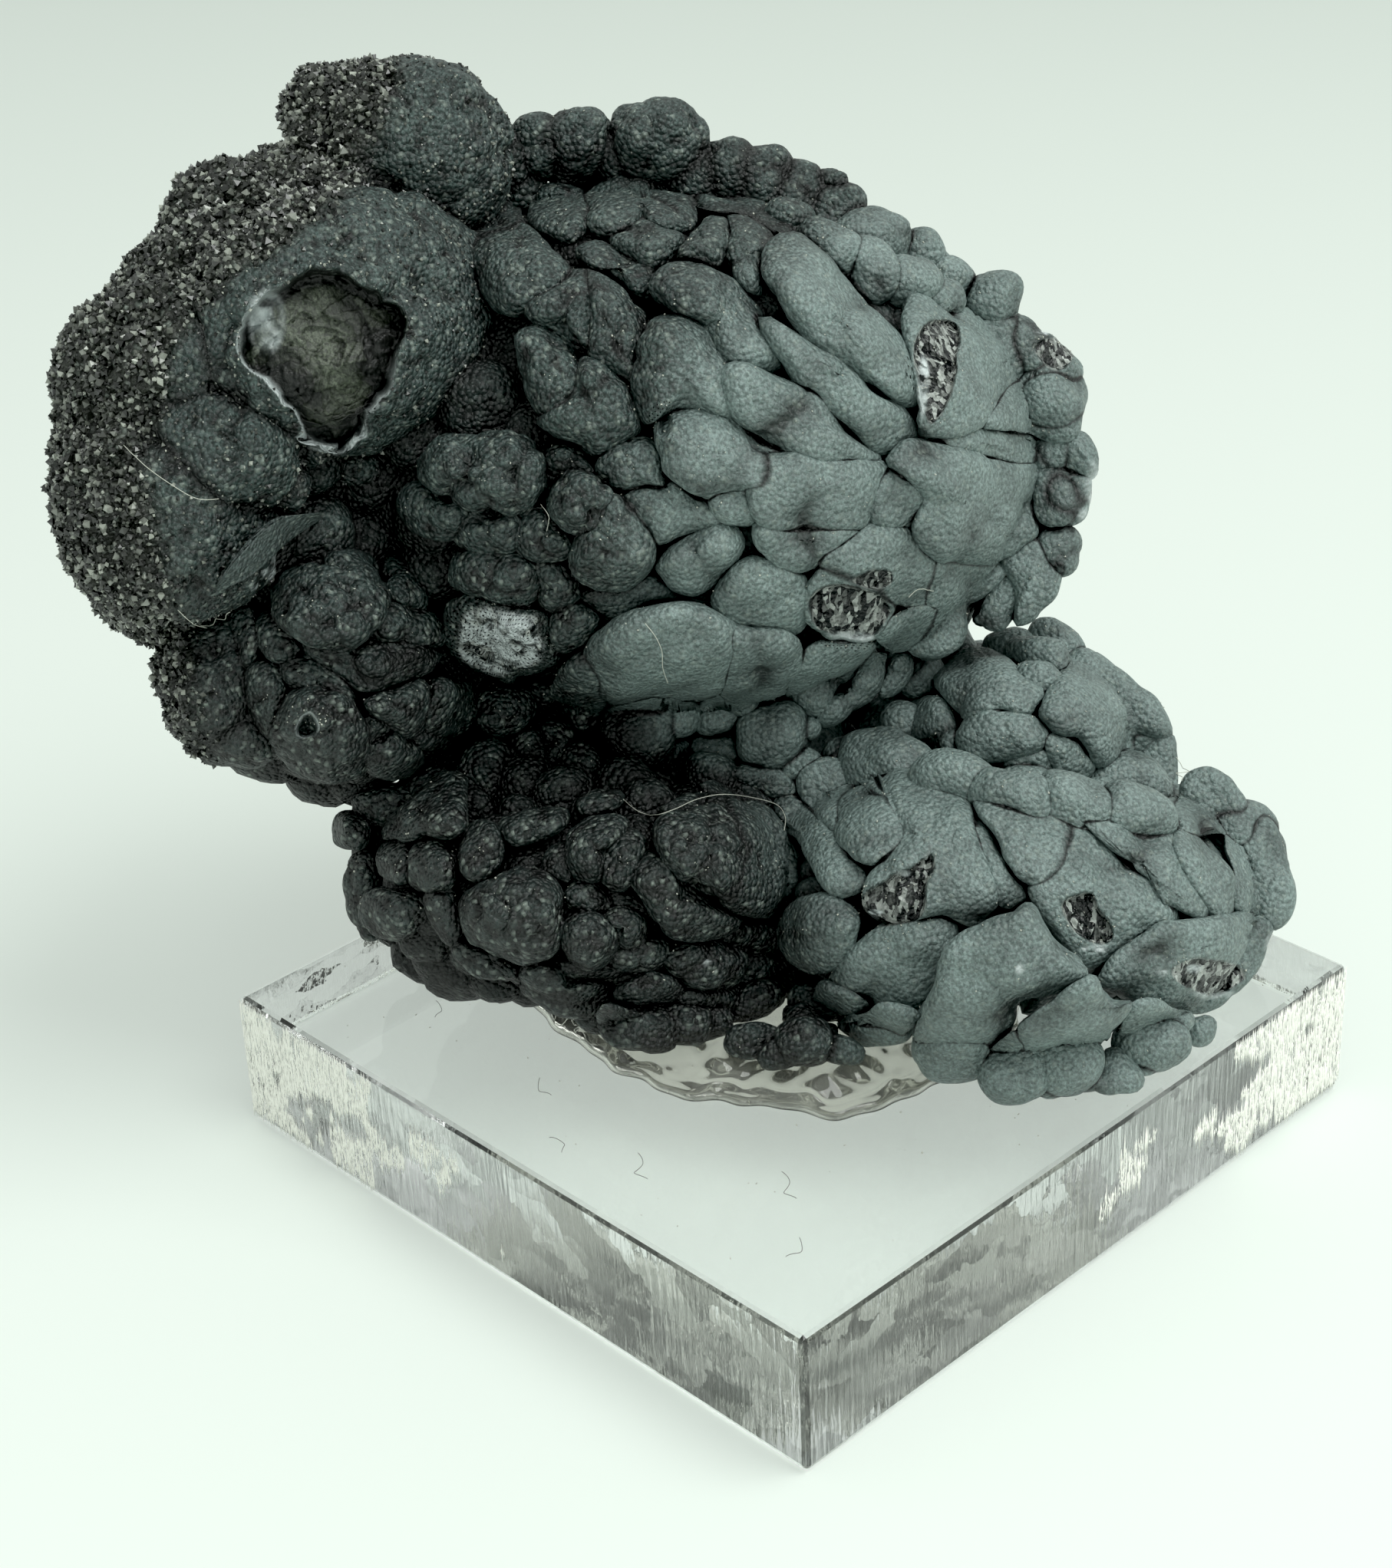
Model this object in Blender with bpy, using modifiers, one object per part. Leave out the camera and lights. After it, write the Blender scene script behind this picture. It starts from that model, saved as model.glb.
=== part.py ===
"""A cryptomelane specimen held on a clear acrylic display block by a puddle of clear adhesive.

The mineral grew as one piece: round lobes crowd over a few swollen masses, an upper crown that
overhangs to the left and a lower base that reaches out to the right. Each mass is an ellipsoid
core covered with lobes. The lobes are laid out the way they are seen from the block's front
corner, so a lobe's place is a distance across and up in a plane that faces the viewer, and its
depth comes from the core behind it. Masses and lobes are fused by a voxel remesh.

Origin at the centre of the block's underside, +Z up, X and Y along the block's sides.
"""

import math

import bmesh
import bpy
from mathutils import Matrix, Vector

# Driving dimensions in metres
BLOCK_SIDE = 0.080
BLOCK_HEIGHT = 0.015
BLOCK_CHAMFER = 0.0006
GAP = 0.0003
STONE_FLOOR = 0.0172
ADHESIVE_HEIGHT = 0.0045
ADHESIVE_ROUNDING = 0.0012

# Faceting of the mineral
VOXEL = 0.0013
STONE_TRIANGLES = 7600

# The viewer, in millimetres and degrees from the same origin
MM = 0.001
EYE = Vector((184.44, -185.94, 186.47))
EYE_AZIMUTH = 46.67
EYE_ELEVATION = 29.48
EYE_ROLL = -2.58
PLANE_DISTANCE = 295.37

# How far a core's own surface lies below the surface that carries its lobes, in millimetres
CORE_SUNK = 3.5

# Cores: centre (across, up, towards the viewer) and half sizes along the same three, in millimetres
CORES = {
    "crown": ((-4, 33.5, -15), (38, 26, 27)),
    "left": ((-42, 36, -6), (16, 21, 16)),
    "cheek": ((-35, 12, -9), (13, 13, 13)),
    "foot": ((-12, -10, -12), (21, 14, 15)),
    "base": ((31, -12, -12), (25, 15, 18)),
    "side": ((33, 5, -24), (12, 9, 14)),
    "stem": ((0, 3, -26), (28, 26, 16)),
}

# Lobes on the seen side of each core, in millimetres and degrees:
# across, up, half length, half width, tilt of the long way, lift towards the viewer
LEFT_LOBES = [
    (-27.5, 60.5, 9, 8.6, 0, 0), (-34, 63.5, 5, 4.8, 0, 0), (-40, 55, 5.6, 5, 20, 0),
    (-46, 50, 5, 4.6, 30, 0), (-33, 51, 11, 8, 20, -2), (-34, 44, 14, 12, 10, -3),
    (-51, 40, 9.2, 7.5, 20, 0), (-54, 31, 6.8, 6.5, 0, 0), (-50, 27, 10, 10.5, 0, -1),
    (-52, 20, 5.5, 5, -20, 0), (-46, 33, 8, 7, 0, 0), (-42, 31, 3, 2.8, 0, 0),
    (-43.5, 35, 3.2, 3, 0, 1), (-48.5, 26, 3, 2.6, -20, 1), (-26, 38, 4.6, 4.2, 0, 1),
    (-21, 40.5, 4.2, 4.8, 0, 0), (-22.5, 44.8, 2.8, 2.6, 0, 0), (-31, 31, 4, 2.3, 15, -4),
]
FINGER_LOBES = [
    (-22.5, 55.3, 5.4, 4, -35, 1), (-17, 50.3, 6, 4.6, -35, 1), (-11, 45.2, 6.5, 5.2, -45, 1),
    (-15, 46.5, 3, 2.6, -60, 0), (-14, 39.6, 4, 4, 0, 0), (-9.3, 36.2, 5, 3.9, -30, 0),
    (-13, 56, 3.1, 2.8, 0, 0), (-6, 56.3, 5.2, 3, -5, 0), (-4.5, 52.6, 3.4, 2.9, 0, 0),
    (4.8, 51.6, 4.2, 2.5, -62, 0.5), (5, 56, 6, 2.6, -10, -1), (-1, 47.5, 3.6, 3, -20, 0.5),
    (4, 44.6, 5, 3.6, -35, 0.5), (8.5, 43.6, 5.2, 2.7, -38, 0), (12, 40, 6.5, 3.5, -32, 0),
    (9.2, 50.4, 3.1, 2.7, -20, 0.5), (10, 47.2, 4, 3.3, -40, 0.5), (15, 44.6, 7.6, 4.2, -42, 0.5),
    (18.2, 39.6, 3.6, 2.2, -15, 0), (-2.6, 41.8, 3.4, 3, -40, 0.8), (-1.2, 38, 4.4, 3.6, -50, 0.8),
    (6, 37.3, 6, 3.5, -22, 0.8), (13, 35.2, 6, 4, -22, 0.5), (18.6, 36, 4, 3, -30, 0),
    (-0.5, 34, 3.5, 2.5, -10, 2), (3, 30.5, 5, 4.6, -45, 2.5), (9, 32.5, 6, 3.8, -15, 2),
    (9.5, 29, 6, 5, -10, 2.5), (14.7, 29.6, 3.6, 3.8, 0, 2), (10.4, 24.4, 5.2, 3.4, 5, 2.5),
    (15, 33.3, 3.6, 2.6, 0, 1.5),
]
SKYLINE_LOBES = [
    (-18.5, 60, 2.6, 2.6, 0, 0), (-15, 61.3, 2.8, 2.6, 0, 0), (-11.3, 61.6, 3, 2.9, 0, 0),
    (-3.6, 61.8, 4.2, 3.6, 0, 0), (0, 58.6, 3, 2.8, 0, 0), (3, 59, 3, 2.8, 0, 0),
    (6, 58.4, 3, 2.8, 0, 0), (9.5, 56.8, 3, 2.8, 0, 0), (13.2, 54.8, 3.1, 2.9, 0, 0),
    (12.6, 51.5, 3, 2.6, -40, -1), (17, 52.4, 3, 2.8, 0, 0), (16.5, 49.5, 3, 2.4, -50, -1),
    (21.4, 51.2, 2.4, 2.3, 0, 0), (24.6, 48.4, 2.1, 2, 0, 0), (28.6, 46.9, 2.4, 2.3, 0, 0),
]
CAP_LOBES = [
    (26.8, 40.4, 6.2, 6, 0, 0), (22.3, 43.5, 2.6, 3, 0, 0.5), (34, 37, 3.2, 4, 0, 0),
    (30.8, 42, 3.6, 2.8, -30, 0), (27.8, 32.8, 5.1, 1.9, -3, 0.5), (20.4, 27.4, 3.2, 2.4, 0, 2),
    (21.4, 30.7, 3, 2.2, 0, 2), (26, 27.6, 6, 5, -10, 1.5), (24.8, 23.8, 3.8, 2.5, 0, 2),
    (34.9, 27.6, 2.5, 2.8, 0, 0.5), (34.7, 22.7, 2.3, 2.6, 0, 0), (32, 19, 3.2, 3, 30, 0),
    (28.5, 17.3, 2.4, 2.7, 0, 1), (28.5, 21, 3, 2.4, 40, 1), (23.6, 13.9, 2.8, 2.5, 0, 1),
    (24.2, 17.8, 3.6, 3.4, 0, 2), (17.5, 21.6, 5.5, 3.4, 10, 3), (14.5, 17.6, 4.6, 3.8, 0, 3),
    (20.6, 15.2, 3, 2, 30, 3),
]
BAND_LOBES = [
    (-20.3, 30, 6.3, 3.7, -3, 0), (-26, 26.6, 3.2, 2.3, -15, -1), (-15.6, 24.4, 2.6, 2.2, 0, 0),
    (-11, 27.3, 3.6, 3, -20, 1), (-6.2, 30.6, 2.8, 2.4, 10, -0.5), (-8, 22.4, 4.1, 3.2, -10, 1),
    (-2.6, 26.4, 3.5, 2.9, -30, 0), (0.2, 21.9, 4.3, 2.8, 18, 1), (-19.8, 20.1, 4.1, 2.4, -8, 0.5),
    (-19, 14.2, 4.8, 3.8, -5, 1), (-12.3, 15, 2.6, 2.3, 30, 0), (-10.6, 9, 3.1, 3.5, 0, 3),
    (-4, 12.6, 6, 4.4, 15, 4), (3.6, 11, 5.6, 4.6, 45, 4), (-5.6, 6.4, 3.5, 3.2, 0, 4),
    (3, 7.3, 2.7, 2.6, 0, 3.5), (6.5, 12.2, 3.4, 2.2, 20, 3.5), (5.8, 18.4, 4.3, 3.4, -5, 2),
    (11, 9.8, 3, 3.3, 50, 2), (14.3, 10.2, 4, 3, 50, 2),
]
CHEEK_LOBES = [
    (-35, 18, 5.6, 5.2, 0, 2), (-33.5, 24.4, 3.8, 2.4, 0, 0), (-28.3, 15.8, 3.5, 2, 0, 1),
    (-43.6, 14.4, 2, 3.6, 0, 0), (-42.5, 8.2, 2.3, 3.2, 20, 1), (-45.5, 9.6, 5, 5.6, 0, 0),
    (-44, 5.5, 3.6, 3.4, -30, 0), (-36.3, 4.9, 4.7, 4.6, 0, 1), (-39, 9, 3, 2.6, 0, 1),
    (-28.4, 7.2, 3.4, 2.2, -10, 0), (-24, 7.4, 3, 2.4, 0, 0), (-18.5, 6.9, 2.8, 2.4, 0, 0),
    (-20, 1.2, 2.8, 2.7, 0, 0), (-42, 22.5, 3.6, 1.8, 50, 1),
]
FOOT_LOBES = [
    (-25.5, -0.2, 3, 2.6, 0, 0), (-29.6, -2.6, 3.6, 2.9, 0, 0), (-33, -4.5, 1.7, 4.2, 0, 0),
    (-31.8, -10.5, 2, 4.2, 0, 0), (-29, -12.3, 3.5, 2.4, 0, -1), (-17.4, -12.4, 4.6, 4.4, 0, 1),
    (-9.6, -6.1, 3, 2.9, 0, 0), (-10.2, -14.9, 2.8, 2.8, 0, 1), (-12.6, -20, 4, 1.9, -15, 0),
    (-2.6, -10.6, 4.8, 2.9, -45, 1.5), (0.8, -5.2, 4.6, 4.2, -30, 2.5), (4.6, -5.6, 4, 4.3, 0, 2.5),
    (8.4, -7.6, 5, 4.6, -45, 2), (1.8, 0.1, 4.6, 1.6, 0, 0), (1.4, -17, 3.3, 2.6, 0, 0.5),
    (5.5, -17.4, 3, 2.5, 0, 0.5), (-5.4, -23.4, 3.4, 2.3, -10, 0), (10.5, -24.9, 2.6, 2.1, 0, 0),
]
BASE_LOBES = [
    (12.4, -1, 3.2, 3.4, 0, 1), (17, -4.2, 3.3, 3.4, 0, 2.5), (12.6, -5.6, 4.4, 2.2, -50, 0.5),
    (18.6, 0.2, 5.6, 3.8, -15, 1), (22, -3.4, 5.6, 4.2, -60, 1.5), (19.5, -9.5, 5, 4.2, -30, 1.5),
    (28, -7, 5.6, 2.4, -55, 1), (26, -9.2, 4.8, 4.6, 0, 1.5), (11.6, -14, 3.8, 3.8, 0, 2),
    (14.5, -20, 3, 2.7, 0, 1.5), (19.4, -17.6, 5.2, 5.2, 0, 2), (17, -22.8, 3.4, 1.9, 10, 1),
    (25.4, -23, 4.2, 4.3, 50, 2), (28.4, -17.8, 5.2, 4.8, 45, 2), (33, -15.2, 3.6, 3.6, 30, 1.5),
    (31, -5, 5, 3.4, -38, 1), (36, -8.4, 5.4, 4.6, -40, 1), (41, -11.4, 5, 3.8, -20, 1.5),
    (36, -13, 4, 3.2, 0, 1.5), (40.8, -4.2, 4.4, 2.5, -35, 0.5), (44.4, -7.6, 4.4, 3, -50, 0.5),
    (49, -8.8, 3.3, 4.2, 10, 0.5), (50, -1.7, 3.8, 3.3, -20, 0), (55, -8, 3.2, 5.4, 0, 0),
    (52, -4.5, 3, 3, 0, 0), (47.6, -17.2, 8.4, 4.2, 5, 1), (53, -14.5, 3.6, 3.6, 45, 0),
    (36.6, -22.8, 3.8, 3, 30, 0), (35.4, -27, 2.7, 3, 0, 0), (31, -27.4, 3.1, 2.8, 0, 0),
    (30.5, -23.6, 2.6, 2.6, 0, -0.5), (44.4, -23, 3.4, 2.2, 8, 0), (43.6, -26, 2.6, 1.9, 30, 0),
    (40, -28.3, 3.2, 1.8, 20, 0),
]
SIDE_LOBES = [
    (28, 9.7, 4.9, 3.3, -5, 1), (29.7, 4.9, 4.3, 2.5, 0, 1.5), (38, 8, 5.8, 5.6, -45, 1),
    (43.6, 1.6, 3, 3, 0, 0), (22.1, 5, 3.4, 3.2, 0, 0), (42, 5.5, 3, 3.6, -45, 0.5),
    (35.5, 12.8, 3, 1.7, -30, 0),
]

# Core, lobes and how much fuller than its outline each lobe is made, so that neighbours meet
COVERINGS = [
    ("left", LEFT_LOBES, 1.04),
    ("crown", FINGER_LOBES, 1.12),
    ("crown", SKYLINE_LOBES, 1.12),
    ("crown", CAP_LOBES, 1.12),
    ("crown", BAND_LOBES, 1.08),
    ("cheek", CHEEK_LOBES, 1.08),
    ("foot", FOOT_LOBES, 1.08),
    ("base", BASE_LOBES, 1.12),
    ("side", SIDE_LOBES, 1.10),
]

# Even lobes over each whole core: count, radius and depth of their centres, in millimetres.
# They fill between the lobes above and make the side that faces away.
FILLINGS = [
    ("crown", 230, 3.6, 3.2),
    ("left", 70, 3.6, 3.0),
    ("cheek", 70, 2.6, 2.4),
    ("foot", 110, 2.8, 2.8),
    ("base", 120, 3.0, 3.0),
    ("side", 50, 2.6, 2.4),
    ("stem", 120, 3.2, 1.0),
]
FAR_SIDE_GROWTH = 1.45

# Rim of the adhesive on the block's top in metres: straight at the front, a corner at the right
ADHESIVE_RIM = [
    (-0.0180, -0.0200), (-0.0100, -0.0222), (0.0045, -0.0224), (0.0125, -0.0182),
    (0.0203, -0.0141), (0.0224, -0.0076), (0.0240, 0.0010), (0.0220, 0.0100),
    (0.0130, 0.0180), (0.0000, 0.0215), (-0.0130, 0.0195), (-0.0215, 0.0100), (-0.0238, -0.0060),
]


def clear_scene():
    """Remove every object of the scene that the script starts in."""
    for obj in list(bpy.data.objects):
        bpy.data.objects.remove(obj, do_unlink=True)


def new_collection(name):
    collection = bpy.data.collections.new(name)
    bpy.context.scene.collection.children.link(collection)
    return collection


def add_object(name, mesh, collection):
    obj = bpy.data.objects.new(name, mesh)
    collection.objects.link(obj)
    return obj


def plain_material(name, colour, roughness, alpha=1.0):
    material = bpy.data.materials.new(name)
    material.use_nodes = True
    shader = material.node_tree.nodes["Principled BSDF"]
    shader.inputs["Base Color"].default_value = (*colour, 1.0)
    shader.inputs["Roughness"].default_value = roughness
    shader.inputs["Metallic"].default_value = 0.0
    shader.inputs["Alpha"].default_value = alpha
    return material


def evaluated_mesh(obj):
    """The object's mesh with its modifiers applied."""
    graph = bpy.context.evaluated_depsgraph_get()
    return bpy.data.meshes.new_from_object(obj.evaluated_get(graph))


def view_rotation():
    """Columns: the viewer's across, up and towards directions in the object's frame."""
    turn = Matrix.Rotation(math.radians(EYE_AZIMUTH), 3, "Z")
    rise = Matrix.Rotation(math.radians(90 - EYE_ELEVATION), 3, "X")
    roll = Matrix.Rotation(math.radians(EYE_ROLL), 3, "Z")
    return turn @ rise @ roll


VIEW = view_rotation()


def core_normal(core, point):
    centre, radii = CORES[core]
    slope = Vector([(point[i] - centre[i]) / radii[i] ** 2 for i in range(3)])
    return slope.normalized()


def sighted(core, across, up):
    """Where the line of sight through (across, up) first meets the core, or passes closest to it."""
    centre, radii = CORES[core]
    start = Vector([((0, 0, PLANE_DISTANCE)[i] - centre[i]) / radii[i] for i in range(3)])
    step = Vector([(across, up, -PLANE_DISTANCE)[i] / radii[i] for i in range(3)])
    a = step.dot(step)
    b = start.dot(step)
    c = start.dot(start) - 1
    reach = (-b - math.sqrt(max(b * b - a * c, 0.0))) / a
    return Vector((across * reach, up * reach, PLANE_DISTANCE * (1 - reach)))


def ellipsoid(centre, axes, radii):
    """Matrix that takes the unit sphere to an ellipsoid given in the viewer's frame, in millimetres."""
    spread = Matrix([axis * radius for axis, radius in zip(axes, radii)]).transposed()
    turned = VIEW @ spread
    place = EYE + VIEW @ (Vector(centre) - Vector((0, 0, PLANE_DISTANCE)))
    return Matrix.Translation(place * MM) @ (turned * MM).to_4x4()


def depth_below(matrix):
    """How far the ellipsoid's lowest point lies under its centre."""
    return Vector(matrix[2][:3]).length


def on_floor(matrix):
    """Raise an ellipsoid that would reach below the mineral's lowest level."""
    short = STONE_FLOOR - (matrix.translation.z - depth_below(matrix))
    if short > 0:
        matrix.translation.z += short
    return matrix


def towards_eye_on_floor(matrix):
    """Bring an ellipsoid nearer along its line of sight until it clears the lowest level."""
    sight = EYE * MM - matrix.translation
    short = STONE_FLOOR - (matrix.translation.z - depth_below(matrix))
    if short > 0:
        matrix.translation += sight * (short / sight.z)
    return matrix


def seen_lobe(core, row, growth):
    """A lobe as the viewer sees it, its long way following the core's surface."""
    across, up, half_length, half_width, tilt, lift = row
    way = Vector((math.cos(math.radians(tilt)), math.sin(math.radians(tilt))))
    middle = sighted(core, across, up)
    reach = 0.6 * half_length
    before = sighted(core, across - reach * way.x, up - reach * way.y)
    beyond = sighted(core, across + reach * way.x, up + reach * way.y)
    along = beyond - before
    flat = math.hypot(along.x, along.y)
    along.z = max(-1.2 * flat, min(1.2 * flat, along.z))
    stretch = min(along.length / flat, 1.25) if half_length >= half_width else 1.0
    along.normalize()
    beside = core_normal(core, middle).cross(along)
    if beside.length < 0.2:
        beside = Vector((0, 0, 1)).cross(along)
    beside.normalize()
    outward = along.cross(beside)
    scale = growth * (PLANE_DISTANCE - middle.z) / PLANE_DISTANCE
    thin = min(half_length, half_width)
    radii = (half_length * stretch * scale, half_width * scale, thin * scale)
    centre = middle + (Vector((0, 0, PLANE_DISTANCE)) - middle).normalized() * lift
    return towards_eye_on_floor(ellipsoid(centre, (along, beside, outward), radii))


def even_lobes(core, count, radius, sunk):
    """Round lobes spread evenly over a core by the golden angle, larger where the viewer can't see."""
    centre, radii = CORES[core]
    golden = math.pi * (1 + math.sqrt(5))
    lobes = []
    for index in range(count):
        height = 1 - 2 * (index + 0.5) / count
        ring = math.sqrt(1 - height * height)
        turn = golden * (index + 0.5)
        unit = (ring * math.cos(turn), ring * math.sin(turn), height)
        point = Vector([centre[i] + unit[i] * radii[i] for i in range(3)])
        normal = core_normal(core, point)
        facing = (Vector((0, 0, PLANE_DISTANCE)) - point).normalized().dot(normal)
        size = radius * (1 + 0.22 * math.sin(7.3 * index))
        depth = sunk
        if facing < -0.15:
            size *= FAR_SIDE_GROWTH
            depth *= 0.5
        axes = Matrix.Identity(3)
        lobes.append(on_floor(ellipsoid(point - normal * depth, axes, (size, size, size))))
    return lobes


def core_body(core):
    """A core's own solid, sunk below the surface that carries its lobes."""
    centre, radii = CORES[core]
    inner = [radius - CORE_SUNK for radius in radii]
    return on_floor(ellipsoid(centre, Matrix.Identity(3), inner))


def stone_spheres():
    """One mesh with every core and lobe as a sphere of its own."""
    bm = bmesh.new()
    for core in CORES:
        bmesh.ops.create_icosphere(bm, subdivisions=4, radius=1.0, matrix=core_body(core))
    for core, rows, growth in COVERINGS:
        for row in rows:
            matrix = seen_lobe(core, row, growth)
            bmesh.ops.create_icosphere(bm, subdivisions=3, radius=1.0, matrix=matrix)
    for filling in FILLINGS:
        for matrix in even_lobes(*filling):
            bmesh.ops.create_icosphere(bm, subdivisions=2, radius=1.0, matrix=matrix)
    mesh = bpy.data.meshes.new("stone_spheres")
    bm.to_mesh(mesh)
    bm.free()
    return mesh


def keep_largest_shell(mesh):
    """Remove every connected surface but the largest, such as the walls of sealed voids."""
    bm = bmesh.new()
    bm.from_mesh(mesh)
    unseen = set(bm.faces)
    shells = []
    while unseen:
        shell = [unseen.pop()]
        for face in shell:
            for edge in face.edges:
                for other in edge.link_faces:
                    if other in unseen:
                        unseen.discard(other)
                        shell.append(other)
        shells.append(shell)
    shells.sort(key=len)
    for shell in shells[:-1]:
        bmesh.ops.delete(bm, geom=shell, context="FACES")
    bm.to_mesh(mesh)
    bm.free()
    return mesh


def make_stone(parts, helpers):
    """The mineral: spheres fused by a voxel remesh, then thinned to few triangles."""
    spheres = add_object("stone_spheres", stone_spheres(), helpers)
    fuse = spheres.modifiers.new("fuse", "REMESH")
    fuse.mode = "VOXEL"
    fuse.voxel_size = VOXEL
    fused = keep_largest_shell(evaluated_mesh(spheres))
    bpy.data.objects.remove(spheres, do_unlink=True)
    dense = add_object("dense_stone", fused, helpers)
    thin = dense.modifiers.new("thin", "DECIMATE")
    thin.ratio = STONE_TRIANGLES / (2 * len(fused.polygons))
    thin.use_collapse_triangulate = True
    stone = add_object("cryptomelane", evaluated_mesh(dense), parts)
    bpy.data.objects.remove(dense, do_unlink=True)
    stone.data.materials.clear()
    stone.data.materials.append(plain_material("manganese_oxide", (0.075, 0.095, 0.090), 0.62))
    stone.data.shade_smooth()
    return stone


def adhesive_outline():
    """The puddle's plan as a filled, closed curve with a rounded rim."""
    curve = bpy.data.curves.new("adhesive_outline", "CURVE")
    curve.dimensions = "2D"
    curve.fill_mode = "BOTH"
    curve.resolution_u = 4
    curve.bevel_depth = ADHESIVE_ROUNDING
    curve.bevel_resolution = 1
    curve.extrude = ADHESIVE_HEIGHT / 2 - ADHESIVE_ROUNDING
    curve.offset = -ADHESIVE_ROUNDING
    spline = curve.splines.new("BEZIER")
    spline.bezier_points.add(len(ADHESIVE_RIM) - 1)
    for point, (x, y) in zip(spline.bezier_points, ADHESIVE_RIM):
        point.co = (x, y, 0)
        point.handle_left_type = "AUTO"
        point.handle_right_type = "AUTO"
    spline.use_cyclic_u = True
    return curve


def make_adhesive(parts, helpers, stone):
    """The clear puddle on the block, pressed into shape by the mineral that sits in it."""
    outline = add_object("adhesive_outline", adhesive_outline(), helpers)
    outline.location.z = BLOCK_HEIGHT + GAP + ADHESIVE_HEIGHT / 2
    bpy.context.view_layer.update()
    mesh = evaluated_mesh(outline)
    mesh.transform(outline.matrix_world)
    bpy.data.objects.remove(outline, do_unlink=True)
    bm = bmesh.new()
    bm.from_mesh(mesh)
    bmesh.ops.remove_doubles(bm, verts=bm.verts, dist=0.00001)
    bmesh.ops.recalc_face_normals(bm, faces=bm.faces)
    bm.to_mesh(mesh)
    bm.free()
    puddle = add_object("adhesive", mesh, parts)

    imprint = add_object("imprint", stone.data.copy(), helpers)
    swell = imprint.modifiers.new("swell", "DISPLACE")
    swell.strength = GAP * 1.3
    swell.mid_level = 0.0
    imprint.hide_render = True
    imprint.display_type = "WIRE"

    press = puddle.modifiers.new("press", "BOOLEAN")
    press.operation = "DIFFERENCE"
    press.solver = "EXACT"
    press.object = imprint
    puddle.data.materials.clear()
    puddle.data.materials.append(plain_material("clear_adhesive", (0.90, 0.93, 0.91), 0.08, 0.35))
    return puddle


def make_block(parts):
    """The square acrylic block with its edges just taken off."""
    bm = bmesh.new()
    bmesh.ops.create_cube(bm, size=1.0)
    bmesh.ops.scale(bm, vec=(BLOCK_SIDE, BLOCK_SIDE, BLOCK_HEIGHT), verts=bm.verts)
    mesh = bpy.data.meshes.new("acrylic_base")
    bm.to_mesh(mesh)
    bm.free()
    block = add_object("acrylic_base", mesh, parts)
    block.location.z = BLOCK_HEIGHT / 2
    edges = block.modifiers.new("edges", "BEVEL")
    edges.width = BLOCK_CHAMFER
    edges.segments = 2
    mesh.materials.append(plain_material("clear_acrylic", (0.90, 0.93, 0.92), 0.05, 0.35))
    return block


clear_scene()
PARTS = new_collection("cryptomelane_specimen")
HELPERS = new_collection("helpers")
STONE = make_stone(PARTS, HELPERS)
make_adhesive(PARTS, HELPERS, STONE)
make_block(PARTS)
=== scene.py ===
import math

import bpy
import numpy as np
from mathutils import Matrix, Vector


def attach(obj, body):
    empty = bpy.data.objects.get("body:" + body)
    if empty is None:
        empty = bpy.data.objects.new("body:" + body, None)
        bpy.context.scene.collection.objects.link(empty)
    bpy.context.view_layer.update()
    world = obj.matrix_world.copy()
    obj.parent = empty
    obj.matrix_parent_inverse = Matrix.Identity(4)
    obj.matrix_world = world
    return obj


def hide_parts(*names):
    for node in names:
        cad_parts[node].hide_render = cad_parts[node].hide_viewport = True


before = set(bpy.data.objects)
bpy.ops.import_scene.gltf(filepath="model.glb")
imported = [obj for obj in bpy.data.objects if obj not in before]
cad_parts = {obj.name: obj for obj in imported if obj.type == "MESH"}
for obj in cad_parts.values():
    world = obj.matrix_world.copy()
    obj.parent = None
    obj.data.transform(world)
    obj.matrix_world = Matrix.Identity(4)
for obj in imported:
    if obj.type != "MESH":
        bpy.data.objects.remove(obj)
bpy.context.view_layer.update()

# Cryptomelane: one natural growth of hard manganese oxide in round lobes that crowd over a few
# swollen masses, an upper crown that overhangs to the left and a base that reaches to the right.
# Each mass is an ellipsoid core. What covers it is laid out as the block's front corner sees it,
# in millimetres across and up in a plane that faces the viewer, with depth from the core.
MM = 0.001
EYE = np.array([184.44, -185.94, 186.47])
EYE_AZIMUTH = 46.67
EYE_ELEVATION = 29.48
EYE_ROLL = -2.58
PLANE_DISTANCE = 295.37
STONE_FLOOR = 17.2
CORE_SUNK = 3.8
CORES = {
    "crown": ((-4, 33.5, -15), (38, 26, 27)),
    "left": ((-42, 36, -6), (16, 21, 16)),
    "cheek": ((-35, 12, -9), (13, 13, 13)),
    "foot": ((-12, -10, -12), (21, 14, 15)),
    "base": ((31, -12, -12), (25, 15, 18)),
    "side": ((33, 5, -24), (12, 9, 14)),
    "stem": ((0, 3, -26), (28, 26, 16)),
}


def turn(axis, degrees):
    """Rotation matrix about the X axis (0) or the Z axis (2)."""
    c, s = math.cos(math.radians(degrees)), math.sin(math.radians(degrees))
    matrix = np.eye(3)
    a, b = [i for i in range(3) if i != axis]
    matrix[[a, a, b, b], [a, b, a, b]] = c, -s, s, c
    return matrix


VIEW = turn(2, EYE_AZIMUTH) @ turn(0, 90 - EYE_ELEVATION) @ turn(2, EYE_ROLL)
VIEWER = np.array([0, 0, PLANE_DISTANCE])


def to_object(points):
    """The viewer's millimetres (across, up, towards) to the object's millimetres."""
    return EYE + (points - VIEWER) @ VIEW.T


def unit(vectors):
    return vectors / np.maximum(np.linalg.norm(vectors, axis=-1, keepdims=True), 1e-9)


def dot(a, b):
    return np.sum(a * b, axis=-1)


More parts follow.
